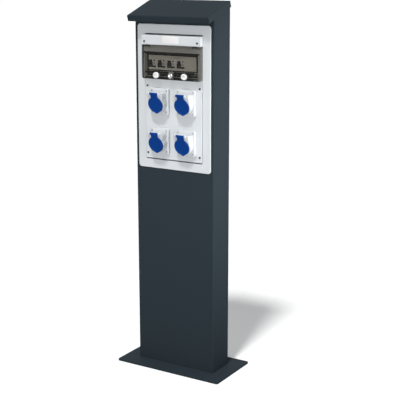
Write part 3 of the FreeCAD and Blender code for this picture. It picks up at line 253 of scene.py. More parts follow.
def relief_effect(name: str, defaults: Point, detail: float, rough: float, samples: int,
                  stretch: Point = (1.0, 1.0, 1.0)) -> Tree:
    """Build a fine relief over softened edges, such as moulded grain or one-way scratches.

    Args:
        name: The group's name.
        defaults: Its Size, Depth and Round in metres.
        detail: How many finer waves the relief has.
        rough: How strong they are.
        samples: How finely the edges are softened.
        stretch: How dense the relief is along X, Y and Z.

    Returns:
        The group.
    """
    effect = Effect(name, dict(zip(("Size", "Depth", "Round"), defaults)), ("Normal", "Mask"))
    place = effect.node("Mapping", Vector=effect.place(), Scale=stretch).outputs["Vector"]
    height = effect.noise("Size", detail, rough, place)
    soft = effect.node("Bevel", Radius=effect.given["Round"], samples=samples)
    bump = effect.node("Bump", Height=height, Distance=effect.given["Depth"], Normal=soft.outputs["Normal"])
    effect.send("Normal", bump.outputs["Normal"])
    effect.send("Mask", height)
    return effect.tree


def wear_and_highlight_effect() -> Tree:
    """Build the mask that is 1 along edges and corners, for wear and a painted highlight, and 0 on flats.

    Returns:
        The group, with the edge's Width in metres, Break for its roughness and Gain for its strength.
    """
    effect = Effect("EdgeWear", {"Width": 0.001, "Break": 60.0, "Gain": 3.0}, ("Mask",))
    soft = effect.node("Bevel", Radius=effect.given["Width"], samples=6).outputs["Normal"]
    flat = effect.node("NewGeometry").outputs["Normal"]
    match = effect.node("VectorMath", soft, flat, operation="DOT_PRODUCT").outputs["Value"]
    worn_and_lit = effect.math("MULTIPLY", effect.math("SUBTRACT", 1.0, match), effect.given["Gain"])
    effect.send_patchy(worn_and_lit, effect.noise(effect.given["Break"], detail=4.0, rough=0.65), low=0.35, high=0.65)
    return effect.tree


def dust_and_shade_effect() -> Tree:
    """Build the mask of dust on upward faces and of occluded corners, painted shade on light finishes and dust on
    dark ones.

    Returns:
        The group, with Reach in metres for the corners, Lie for flats that face up and Gather for the corners' dust
        and painted shade.
    """
    effect = Effect("Dust", {"Reach": 0.006, "Lie": 0.4, "Gather": 0.5}, ("Mask",))
    up = effect.node("SeparateXYZ", effect.node("NewGeometry").outputs["Normal"]).outputs["Z"]
    lying = effect.math("MULTIPLY", up, effect.given["Lie"], clamp=True)
    # Occluded corners take the colour too: painted shade on light finishes, dust on dark ones.
    corner = effect.node("AmbientOcclusion", Distance=effect.given["Reach"], samples=6, only_local=False)
    shut = effect.math("SUBTRACT", 1.0, corner.outputs["AO"], clamp=True)
    total = effect.math("ADD", lying, effect.math("MULTIPLY", shut, effect.given["Gather"]), clamp=True)
    effect.send_patchy(total, effect.noise(35.0, detail=5.0, rough=0.7), low=0.3, high=0.75)
    return effect.tree


def mottle_effect() -> Tree:
    """Build the slow change of tone that every painted or moulded face has, with Size in metres.

    Returns:
        The group.
    """
    effect = Effect("Mottle", {"Size": 0.08}, ("Mask",))
    effect.send("Mask", effect.noise("Size", detail=4.0, rough=0.55))
    return effect.tree


@dataclass(frozen=True)
class Workshop:
    """The shared effects, made once and placed in each finish."""

    grain: Tree
    wear_and_highlight: Tree
    dust: Tree
    mottle: Tree
    brush: Tree

    @staticmethod
    def opened() -> "Workshop":
        """Build every shared effect.

        Returns:
            The effects.
        """
        grain = relief_effect("FineGrain", (0.001, 0.00002, 0.0008), detail=3.0, rough=0.6, samples=6)
        brush = relief_effect("Scratches", (0.0004, 0.000004, 0.0003), detail=2.0, rough=0.5, samples=4,
                              stretch=(0.08, 1.0, 1.0))
        return Workshop(grain, wear_and_highlight_effect(), dust_and_shade_effect(), mottle_effect(), brush)


class Recipe:
    """A material under construction around one Principled shader."""

    def __init__(self, name: str) -> None:
        """Start a material.

        Args:
            name: The material's name.
        """
        self.material = bpy.data.materials.new(name)
        self.material.use_nodes = True
        self.tree = self.material.node_tree
        self.shader = self.tree.nodes["Principled BSDF"]

    def set(self, **values: object) -> None:
        """Set or feed inputs of the shader, named with underscores for spaces."""
        for key, value in values.items():
            feed(self.tree, self.shader.inputs[key.replace("_", " ")], value)

    def place(self, group: Tree, **values: float) -> Node:
        """Place a shared effect and give its inputs their values."""
        return add_node(self.tree, "Group", node_tree=group, **values)

    def blend(self, mask: Socket, first: object, second: object) -> Socket:
        """Mix two colours by a mask.

        Args:
            mask: The mask that is 0 for the first colour.
            first: A linear colour or a colour output.
            second: A linear colour or a colour output.

        Returns:
            The mixed colour.
        """
        node = add_node(self.tree, "Mix", mask, data_type="RGBA")
        feed(self.tree, node.inputs[6], first)
        feed(self.tree, node.inputs[7], second)
        return node.outputs[2]

    def spread(self, mask: Socket, low: float, high: float) -> Socket:
        """Turn a mask into a number between two values."""
        return add_node(self.tree, "MapRange", mask, To_Min=low, To_Max=high).outputs["Result"]


@dataclass(frozen=True)
class Coating:
    """A painted or moulded finish: tone, mottling, edge wear with a painted highlight, dust with painted shade in
    corners, and the grain's size, depth and rounding.
    """

    name: str
    colour: Tone
    darker: float = 0.92
    # The edge colour is wear, and a painted highlight along edges where light would catch them.
    edge: Tone = (200, 204, 208)
    edge_gain: float = 0.5
    edge_width: float = 0.7
    rough: Flat = (0.45, 0.55)
    gloss: float = 0.4
    grain: Point = (0.9, 0.02, 0.6)
    # The colour of dust on upward faces and in occluded corners; where it is darker than the finish, the corners are
    # painted shade.
    dust: Tone = (150, 148, 142)
    dust_lie: float = 0.1
    dust_and_shade_gather: float = 0.15
    mottle_size: float = 90.0

    def build(self, shop: Workshop) -> Material:
        """Build the material.

        Args:
            shop: The shared effects.

        Returns:
            The finished material.
        """
        recipe = Recipe(self.name)
        base = linear(self.colour)
        mottle = recipe.place(shop.mottle, Size=self.mottle_size * MM)
        wear_and_highlight = recipe.place(shop.wear_and_highlight, Width=self.edge_width * MM, Gain=self.edge_gain)
        dust = recipe.place(shop.dust, Lie=self.dust_lie, Gather=self.dust_and_shade_gather)
        size, depth, rounding = (length * MM for length in self.grain)
        grain = recipe.place(shop.grain, Size=size, Depth=depth, Round=rounding)
        colour = recipe.blend(mottle.outputs["Mask"], shaded(base, self.darker), base)
        # Edges take the edge colour: wear and a painted highlight.
        colour = recipe.blend(wear_and_highlight.outputs["Mask"], colour, linear(self.edge))
        colour = recipe.blend(dust.outputs["Mask"], colour, linear(self.dust))
        recipe.set(Base_Color=colour, Roughness=recipe.spread(grain.outputs["Mask"], *self.rough),
                   Normal=grain.outputs["Normal"], Specular_IOR_Level=self.gloss)
        return recipe.material


@dataclass(frozen=True)
class Plating:
    """A bare or plated metal with fine scratches and painted shade in its hollows."""

    name: str
    colour: Tone
    rough: Flat = (0.18, 0.34)
    scratch_size: float = 0.5
    scratch_depth: float = 0.004
    hollow_shade: Tone = (40, 38, 36)
    hollow_shade_reach: float = 1.5
    hollow_shade_gather: float = 0.7

    def build(self, shop: Workshop) -> Material:
        """Build the material.

        Args:
            shop: The shared effects.

        Returns:
            The finished material.
        """
        recipe = Recipe(self.name)
        brush = recipe.place(shop.brush, Size=self.scratch_size * MM, Depth=self.scratch_depth * MM)
        # Hollows found by occlusion are painted dark: painted shade.
        dust = recipe.place(shop.dust, Reach=self.hollow_shade_reach * MM, Lie=0.0, Gather=self.hollow_shade_gather)
        recipe.set(Base_Color=recipe.blend(dust.outputs["Mask"], linear(self.colour), linear(self.hollow_shade)),
                   Roughness=recipe.spread(brush.outputs["Mask"], *self.rough),
                   Normal=brush.outputs["Normal"], Metallic=1.0)
        return recipe.material


@dataclass(frozen=True)
class SmokyClear:
    """Smoke-tinted clear moulding that lets the lamps through."""

    name: str
    tint: Tone
    haze: float = 1.12
    rough: Flat = (0.02, 0.05)
    ior: float = 1.36
    gloss: float = 0.1
    mottle_size: float = 30.0

    def build(self, shop: Workshop) -> Material:
        """Build the material.

        Args:
            shop: The shared effects.

        Returns:
            The finished material.
        """
        recipe = Recipe(self.name)
        tint = linear(self.tint)
        mask = recipe.place(shop.mottle, Size=self.mottle_size * MM).outputs["Mask"]
        recipe.set(Base_Color=recipe.blend(mask, tint, shaded(tint, self.haze)),
                   Roughness=recipe.spread(mask, *self.rough), Metallic=0.0, Transmission_Weight=1.0,
                   IOR=self.ior, Specular_IOR_Level=self.gloss)
        lamps = add_node(recipe.tree, "LightPath").outputs["Is Shadow Ray"]
        passed = add_node(recipe.tree, "BsdfTransparent", (*(math.sqrt(part) for part in tint[:3]), 1.0))
        mix = add_node(recipe.tree, "MixShader", lamps, recipe.shader.outputs[0], passed.outputs[0])
        feed(recipe.tree, recipe.tree.nodes["Material Output"].inputs["Surface"], mix.outputs[0])
        return recipe.material


RECIPES: dict[Slot, Coating | Plating | SmokyClear] = {
    # The powder coat's pale edge colour is wear and a painted highlight along the column's edges.
    Slot.PAINTED_STEEL: Coating(
        "powder_coat", (45, 54, 60), darker=0.94, edge=(86, 98, 108), edge_gain=1.2, edge_width=1.2,
        rough=(0.46, 0.56), gloss=0.01, grain=(1.1, 0.03, 0.6), dust=(96, 100, 102), dust_lie=0.015,
        dust_and_shade_gather=0.0),
    # The grey moulding's occluded corners take a darker grey of its own hue: painted shade.
    Slot.GREY_MOULDING: Coating(
        "light_grey_moulding", (205, 209, 212), darker=0.95, edge=(226, 229, 232), edge_gain=1.0,
        rough=(0.36, 0.48), dust=(150, 152, 154), dust_lie=0.0, dust_and_shade_gather=0.35),
    Slot.BOX_MOULDING: Coating("box_grey_moulding", (150, 153, 155), rough=(0.5, 0.6)),
    Slot.DARK_SCREW: Coating(
        "blackened_screw", (26, 27, 30), edge=(120, 120, 124), edge_gain=1.5, edge_width=0.3, rough=(0.3, 0.42),
        grain=(0.4, 0.01, 0.25)),
    Slot.GREY_SCREW: Plating("plated_screw", (176, 178, 180), rough=(0.28, 0.42)),
    Slot.ZINC_STEEL: Plating("bright_zinc", (196, 200, 206), rough=(0.25, 0.45)),
    Slot.LABEL_FILM: Coating(
        "white_film", (229, 227, 226), edge=(214, 214, 212), rough=(0.22, 0.3), gloss=0.5, grain=(2.5, 0.01, 0.15)),
    Slot.SMOKY_CLEAR: SmokyClear("smoky_clear", (155, 153, 148)),
    # The white moulding darkens in occluded corners: painted shade.
    Slot.WHITE_PLASTIC: Coating(
        "white_moulding", (228, 229, 229), darker=0.97, edge=(250, 250, 250), rough=(0.26, 0.36), gloss=0.5,
        grain=(0.5, 0.006, 0.4), dust_and_shade_gather=0.3),
    Slot.CHROME: Plating("chrome_plate", (214, 214, 216), rough=(0.06, 0.16)),
    # The module moulding darkens in occluded corners: painted shade.
    Slot.MODULE_PLASTIC: Coating(
        "module_moulding", (237, 238, 232), edge=(242, 242, 238), grain=(0.5, 0.02, 0.4), dust_and_shade_gather=0.5),
    Slot.LEVER_PLASTIC: Coating(
        "lever_moulding", (16, 18, 42), edge=(40, 44, 76), gloss=0.08, grain=(0.4, 0.02, 0.3)),
    Slot.BUTTON_PLASTIC: Coating(
        "test_button_moulding", (208, 178, 172), edge=(226, 204, 198), rough=(0.3, 0.4), gloss=0.5,
        grain=(0.4, 0.02, 0.3)),
    Slot.BLUE_PLASTIC: Coating(
        "blue_moulding", (3, 59, 134), darker=0.86, edge=(40, 92, 176), rough=(0.4, 0.5), gloss=0.08,
        grain=(0.6, 0.012, 0.6), dust=(90, 120, 170), dust_and_shade_gather=0.1),
    Slot.INSERT_PLASTIC: Coating("insert_moulding", (22, 62, 136)),
    Slot.BRASS: Plating("turned_brass", (212, 170, 92), rough=(0.2, 0.36)),
    Slot.GASKET_RUBBER: Coating("foam_rubber", (34, 34, 35), rough=(0.75, 0.9), gloss=0.2),
    Slot.BLACK_PLASTIC: Coating(
        "black_moulding", (15, 15, 16), edge=(48, 50, 52), edge_gain=0.3, rough=(0.5, 0.6), gloss=0.06,
        grain=(0.5, 0.006, 0.3), dust_lie=0.0, dust_and_shade_gather=0.0),
    Slot.TERMINAL_PLASTIC: Coating("terminal_moulding", (176, 180, 176)),
    Slot.LEAD_SHEATH: Coating("lead_sheath", (30, 60, 140), rough=(0.35, 0.45), grain=(2.0, 0.02, 0.2)),
}


@dataclass(frozen=True)
class Finishes:
    """Every finish of the pillar, by the record's slot."""

    by_slot: dict[Slot, Material]

    @staticmethod
    def mixed(shop: Workshop) -> "Finishes":
        """Mix every finish from the shared effects."""
        return Finishes({slot: recipe.build(shop) for slot, recipe in RECIPES.items()})

    def dress(self, obj: bpy.types.Object, slot: Slot) -> None:
        """Give an object the finish of one of the record's slots.

        Args:
            obj: The object.
            slot: The record's slot.
        """
        obj.data.materials.clear()
        obj.data.materials.append(self.by_slot[slot])

    def dress_packed(self) -> None:
        """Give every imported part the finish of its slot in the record."""
        names = {material["slot"] for material in frame["record"]["materials"]}
        for name, obj in frame["nodes"].items():
            words = [material.name.split(".")[0] for material in obj.data.materials if material]
            slot = Slot(next(word for word in words if word in names))
            LOG.info("CAD node %s takes %s", name, slot)
            for index in range(len(obj.data.materials)):
                obj.data.materials[index] = self.by_slot[slot]


def arc(centre: Flat, radius: float, start: float, end: float, steps: int) -> Outline:
    """Return an arc's points, both ends among them, from its first to its last angle in degrees."""
    angles = [math.radians(start + (end - start) * step / steps) for step in range(steps + 1)]
    return [(centre[0] + radius * math.cos(a), centre[1] + radius * math.sin(a)) for a in angles]


def around(radius_at: Reach, count: int = SPOKES) -> Outline:
    """Return a closed outline whose radius depends on the angle in radians."""
    angles = [math.tau * (step + 0.5) / count for step in range(count)]
    return [(radius_at(a) * math.cos(a), radius_at(a) * math.sin(a)) for a in angles]


def circle(radius: float, count: int = SPOKES) -> Outline:
    """Return a circle about the origin."""
    return around(lambda angle: radius, count)


def polygon(sides: int, inradius: float) -> Reach:
    """Return the radius of a regular polygon at an angle."""
    pitch = math.tau / sides
    return lambda angle: inradius / math.cos((angle + pitch / 2) % pitch - pitch / 2)


def bar_shape(reach: float, half: float) -> Reach:
    """Return the radius of a narrow rectangle at an angle."""
    return lambda angle: min(reach / max(abs(math.cos(angle)), TINY), half / max(abs(math.sin(angle)), TINY))


def cross_shape(reach: float, half: float) -> Reach:
    """Return the radius of a cross at an angle."""
    across = bar_shape(reach, half)
    return lambda angle: max(across(angle), across(angle + math.pi / 2))


def rounded_box(half_wide: float, half_tall: float, radius: float, middle: Flat = (0.0, 0.0)) -> Outline:
    """Return a rectangle with round corners.

    Args:
        half_wide: Half of its width.
        half_tall: Half of its height.
        radius: The radius of its corners.
        middle: Its middle.

    Returns:
        The outline.
    """
    outline: Outline = []
    for across, up, start in ((1, -1, -90), (1, 1, 0), (-1, 1, 90), (-1, -1, 180)):
        centre = (middle[0] + across * (half_wide - radius), middle[1] + up * (half_tall - radius))
        outline += arc(centre, radius, start, start + 90, CORNER_STEPS)
    return outline


def inset(outline: Outline, distance: float) -> Outline:
    """Draw an anticlockwise outline in by a distance.

    Args:
        outline: The outline.
        distance: How far each side moves inwards.

    Returns:
        The smaller outline, with as many points.
    """
    points = [Vector(point) for point in outline]
    result: Outline = []
    for before, here, after in zip(points[-1:] + points, points, points[1:] + points[:1]):
        first, second = ((end - start).normalized().orthogonal() for start, end in ((before, here), (here, after)))
        result.append(tuple(here + (first + second) * (distance / (1 + first.dot(second)))))
    return result


def scaled(outline: Outline, factor: float) -> Outline:
    """Draw an outline smaller about the origin."""
    return [(u * factor, v * factor) for u, v in outline]


def directed(outline: Outline, radius: float) -> Outline:
    """Return the points of a circle that lie in the directions of an outline's points."""
    return [(u * radius / math.hypot(u, v), v * radius / math.hypot(u, v)) for u, v in outline]


def wall(outline: Outline, low: float, high: float, edge: float = 0.0, both: bool = False) -> list[Layer]:
    """Return the layers of an upright wall whose upper edge may be rounded.

    Args:
        outline: The wall's outline.
        low: The height of its foot.
        high: The height of its top.
        edge: The rounding's radius.
        both: Whether the lower edge is rounded too.

    Returns:
        The layers from the foot to the top.
    """
    if not edge:
        return [(outline, low), (outline, high)]
    steps = [(edge * (1 - math.cos(turn)), edge * (1 - math.sin(turn))) for turn in EDGE_TURNS]
    upper = [(outline, high - edge), *((inset(outline, inwards), high - down) for inwards, down in steps)]
    if not both:
        return [(outline, low), *upper]
    return [*((inset(outline, inwards), low + up) for inwards, up in reversed(steps)), (outline, low + edge), *upper]


def seat_of(origin: Sequence[float], right: Sequence[float], up: Sequence[float]) -> Matrix:
    """Return the matrix from a working frame's millimetres, U to the right, V up and W outwards, to the scene."""
    turn = Matrix((right, up, Vector(right).cross(Vector(up)))).transposed().to_4x4()
    return Matrix.Translation(Vector(origin) * MM) @ turn @ Matrix.Scale(MM, 4)


def front_seat(x: float, z: float, proud: float = 0.0) -> Matrix:
    """Return a frame on the column's front, with W counted forwards from the column's face."""
    return seat_of((x, FACE_Y - proud, z), (1, 0, 0), (0, 0, 1))


def rear_seat(x: float, y: float, z: float) -> Matrix:
    """Return a frame on the back, with W backwards."""
    return seat_of((x, y, z), (-1, 0, 0), (0, 0, 1))


def side_seat(x: float, y: float, z: float) -> Matrix:
    """Return a frame seen from the left side, with U forwards and W to the left."""
    return seat_of((x, y, z), (0, -1, 0), (0, 0, 1))


@dataclass(frozen=True)
class Plate:
    """A plate with round corners that looks forwards, with its low and high face counted as proud."""

    across: float
    height: float
    half_wide: float
    half_tall: float
    corner: float
    low: float
    high: float
    edge: float = 0.0

    def outline(self) -> Outline:
        """Return the outline about the plate's middle."""
        return rounded_box(self.half_wide, self.half_tall, self.corner)

    def layers(self) -> list[Layer]:
        """Return the layers from the low to the high face."""
        return wall(self.outline(), self.low, self.high, self.edge)

    def seat(self, middle_x: float = 0.0) -> Matrix:
        """Return the plate's frame, when its X counts from a middle."""
        return front_seat(middle_x + self.across, self.height)


Plates = tuple[Plate, ...]


@dataclass(frozen=True)
class Disc:
    """A round wall with its low and high face, its rounded edge and the number of its points."""

    radius: float
    low: float
    high: float
    edge: float = 0.0
    points: int = 32
    both: bool = False

    def layers(self) -> list[Layer]:
        """Return the layers from the low to the high face."""
        return wall(circle(self.radius, self.points), self.low, self.high, self.edge, self.both)


class Piece:
    """One mesh in the making, put together from stacks of outlines."""

    def __init__(self, name: str) -> None:
        """Start a piece with the object's name."""
        self.name = name
        self.mesh = bmesh.new()

    def stack(self, layers: Sequence[Layer], seat: Matrix, loop: bool = False) -> "Piece":
        """Join outlines that have equally many points.

        Args:
            layers: Outlines with their heights, from the first to the last.
            seat: The working frame.
            loop: Whether the last outline is joined to the first, as in a ring.

        Returns:
            This piece.
        """
        rings = [[self.mesh.verts.new(seat @ Vector((u, v, height))) for u, v in outline]
                 for outline, height in layers]
        for low, high in zip(rings, rings[1:] + (rings[:1] if loop else [])):
            for step, corner in enumerate(low):
                follow = (step + 1) % len(low)
                self.mesh.faces.new((corner, low[follow], high[follow], high[step]))
        if not loop:
            self.mesh.faces.new(rings[0][::-1])
            self.mesh.faces.new(rings[-1])
        return self

    def ring(self, outer: Sequence[Layer], inner: Outline, seat: Matrix) -> "Piece":
        """Add a wall given by its outer layers, with a hole of an outline through it."""
        return self.stack([*outer, (inner, outer[-1][1]), (inner, outer[0][1])], seat, loop=True)

    def add(self, *plates: Plate, middle_x: float = 0.0) -> "Piece":
        """Add plates whose X counts from a middle.

        Args:
            *plates: The plates.
            middle_x: The middle.

        Returns:
            This piece.
        """
        for plate in plates:
            self.stack(plate.layers(), plate.seat(middle_x))
        return self

    def finish(self, finishes: Finishes, slot: Slot, *replaced: str, body: str = "pillar") -> None:
        """Turn the piece into an object that rides a body.

        Args:
            finishes: All finishes.
            slot: The record's slot.
            *replaced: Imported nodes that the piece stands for.
            body: The body that carries the piece.
        """
        for face in self.mesh.faces:
            face.smooth = True
        for edge in self.mesh.edges:
            if len(edge.link_faces) == 2 and edge.calc_face_angle(0) > CRISP_TURN:
                edge.smooth = False
        mesh = bpy.data.meshes.new(self.name)
        self.mesh.to_mesh(mesh)
        self.mesh.free()
        obj = add_object(self.name, mesh)
        finishes.dress(obj, slot)
        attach(obj, body)
        if replaced:
            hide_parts(*replaced)
        LOG.info("%s: %d faces, rides %s", self.name, len(mesh.polygons), body)


@dataclass(frozen=True)
class ScrewHead:
    """A screw's head with its drive and the start of its shank."""

    radius: float
    height: float
    drive: Drive
    drive_reach: float
    drive_half: float
    drive_depth: float
    edge: float = 0.4
    shank_radius: float = 2.0
    shank_length: float = 3.0

    def layers(self) -> list[Layer]:
        """Return the layers from the shank up into the drive.

        Returns:
            The layers.
        """
        shapes = {Drive.HEX: polygon(6, self.drive_reach),
                  Drive.CROSS: cross_shape(self.drive_reach, self.drive_half)}
        mouth, shank = around(shapes[self.drive]), circle(self.shank_radius)
        return [(shank, -self.shank_length), (shank, 0.0),
                *wall(circle(self.radius), 0.0, self.height, self.edge),
                (mouth, self.height), (scaled(mouth, DRIVE_TAPERS[self.drive]), self.height - self.drive_depth)]


@dataclass
class Fasteners:
    """Screw heads of the panel, the cover, the flanges and the rear panel, and the rims of the flanges' gaskets."""

    finishes: Finishes
    dark: ScrewHead = ScrewHead(3.3, 1.6, Drive.HEX, 1.5, 0.0, 1.0, shank_length=20.0)
    flange: ScrewHead = ScrewHead(3.0, 1.4, Drive.CROSS, 1.9, 0.5, 0.9, shank_length=14.0)
    rear: ScrewHead = ScrewHead(4.2, 2.2, Drive.CROSS, 2.5, 0.6, 1.3, edge=0.9, shank_length=3.5)
    side_x: float = 97.0
    panel_rows: Flat = (718.0, 933.6)
    panel_proud: float = 4.0
    strip_row: float = 1073.5
    strip_proud: float = 20.0
    flange_half: Flat = (27.35, 33.5)
    flange_proud: float = 12.0
    gasket_half: Flat = (34.0, 40.2)
    gasket_corner: float = 5.5
    gasket_span: Flat = (4.0, 5.0)
    gasket_band: float = 3.0
    rear_x: float = 133.0
    rear_y: float = 51.0
    rear_rows: tuple[float, ...] = (40.0, 400.0, 760.0, 1120.0)

    def build_heads(self, name: str, head: ScrewHead, slot: Slot, replaced: str, seats: Iterable[Matrix]) -> None:
        """Build one piece of like screw heads.

        Args:
            name: The piece's name.
            head: The screws' head.
            slot: Their slot in the record.
            replaced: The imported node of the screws.
            seats: Where they stand.
        """
        piece = Piece(name)
        for seat in seats:
            piece.stack(head.layers(), seat)
        piece.finish(self.finishes, slot, replaced)

    def build_gaskets(self) -> None:
        """Build the rims of the flanges' gaskets."""
        gaskets = Piece("flange_gasket_rims")
        outer = rounded_box(*self.gasket_half, self.gasket_corner)
        for middle in socket_middles():
            gaskets.ring(wall(outer, *self.gasket_span), inset(outer, self.gasket_band), front_seat(*middle))
        gaskets.finish(self.finishes, Slot.GASKET_RUBBER, "socket_gaskets")

    def build(self) -> None:
        """Build every screw head and gasket rim."""
        sides = [side.value for side in Side]
        wide, tall = self.flange_half
        self.build_heads("panel_screw_heads", self.dark, Slot.DARK_SCREW, "panel_screws", [
            front_seat(side * self.side_x, row, self.panel_proud) for side, row in product(sides, self.panel_rows)])
        self.build_heads("cover_screw_heads", self.dark, Slot.DARK_SCREW, "cover_screws", [
            front_seat(side * self.side_x, self.strip_row, self.strip_proud) for side in sides])
        self.build_heads("flange_screw_heads", self.flange, Slot.GREY_SCREW, "flange_screws", [
            front_seat(x + side * wide, z + end * tall, self.flange_proud)
            for (x, z), side, end in product(socket_middles(), sides, sides)])
        self.build_gaskets()
        self.build_heads("rear_screw_heads", self.rear, Slot.ZINC_STEEL, "rear_panel_screws", [
            rear_seat(side * self.rear_x, self.rear_y, row) for side, row in product(sides, self.rear_rows)])


@dataclass
class SocketLid:
    """The hinged blue lid of one socket: keyhole-shaped cover with a chin, hinge bar, boss and seal."""

    finishes: Finishes
    number: int
    tilt: float = math.radians(16.3)
    radius: float = 26.5
    thickness: float = 4.0
    edge: float = 1.2
    neck_half: float = 12.0
    neck_fillet: float = 4.0
    hinge_rise: float = 36.5
    bar: Disc = Disc(3.5, -15.5, 15.5, 0.5, both=True)
    chin_low: float = 30.0
    chin_radius: float = 2.0
    boss: Disc = Disc(22.0, -1.0, 2.2, 0.6, SPOKES)
    seal: Disc = Disc(23.6, -0.2, 1.5, 0.5, SPOKES)
    seal_hole: float = 21.8
    rim_depth: float = 0.45
    dish: tuple[Flat, ...] = ((0.9, 0.0), (0.885, 1.0), (0.6, 0.55), (0.3, 0.25), (0.02, 0.2))
    arc_steps: Steps = (4, 34, 6)

    def outline(self) -> Outline:
        """Return the cover's outline about the middle of its disc.

        Returns:
            The outline.
        """
        chin_middle = self.chin_low - self.chin_radius
        chin_turn = math.degrees(math.asin((self.radius - self.chin_radius) / chin_middle))
        fillet_x = self.neck_half + self.neck_fillet
        fillet_z = math.sqrt((self.radius + self.neck_fillet) ** 2 - fillet_x ** 2)
        fillet_turn = math.degrees(math.atan2(fillet_z, fillet_x))
        chin_steps, disc_steps, neck_steps = self.arc_steps
        half = arc((0, -chin_middle), self.chin_radius, -90, -chin_turn, chin_steps)[1:]
        half += arc((0, 0), self.radius, -chin_turn, fillet_turn, disc_steps)[1:]
        half += arc((fillet_x, fillet_z), self.neck_fillet, 180 + fillet_turn, 180, neck_steps)[1:]
        half.append((self.neck_half, self.hinge_rise))
        return [(0, -self.chin_low), *half, *((-u, v) for u, v in reversed(half))]

    def pivot(self) -> Matrix:
        """Return the frame of the lid's hinge, turned like the lid."""
        up = (0, -math.sin(self.tilt), math.cos(self.tilt))
        return seat_of(joint_axis_point(f"lid_{self.number}_hinge"), (1, 0, 0), up)

    def build(self) -> None:
        """Build the lid and its seal."""
        body, outline, pivot = f"lid_{self.number}", self.outline(), self.pivot()
        seat = pivot @ Matrix.Translation((0, -self.hinge_rise, self.bar.radius))
        facing_in = seat @ Matrix.Translation((0, 0, -self.thickness)) @ Matrix.Rotation(math.pi, 4, "X")
        lid = Piece(f"{body}_cover")
        lid.stack([*wall(outline, -self.thickness, 0.0, self.edge),
                   *((scaled(outline, share), -depth * self.rim_depth) for share, depth in self.dish)], seat)
        lid.stack(self.bar.layers(), pivot @ Matrix.Rotation(math.pi / 2, 4, "Y"))
        lid.stack(self.boss.layers(), facing_in)
        lid.finish(self.finishes, Slot.BLUE_PLASTIC, f"socket_lid_{self.number}", body=body)
        seal = Piece(f"{body}_seal").ring(self.seal.layers(), circle(self.seal_hole), facing_in)
        seal.finish(self.finishes, Slot.GASKET_RUBBER, body=body)


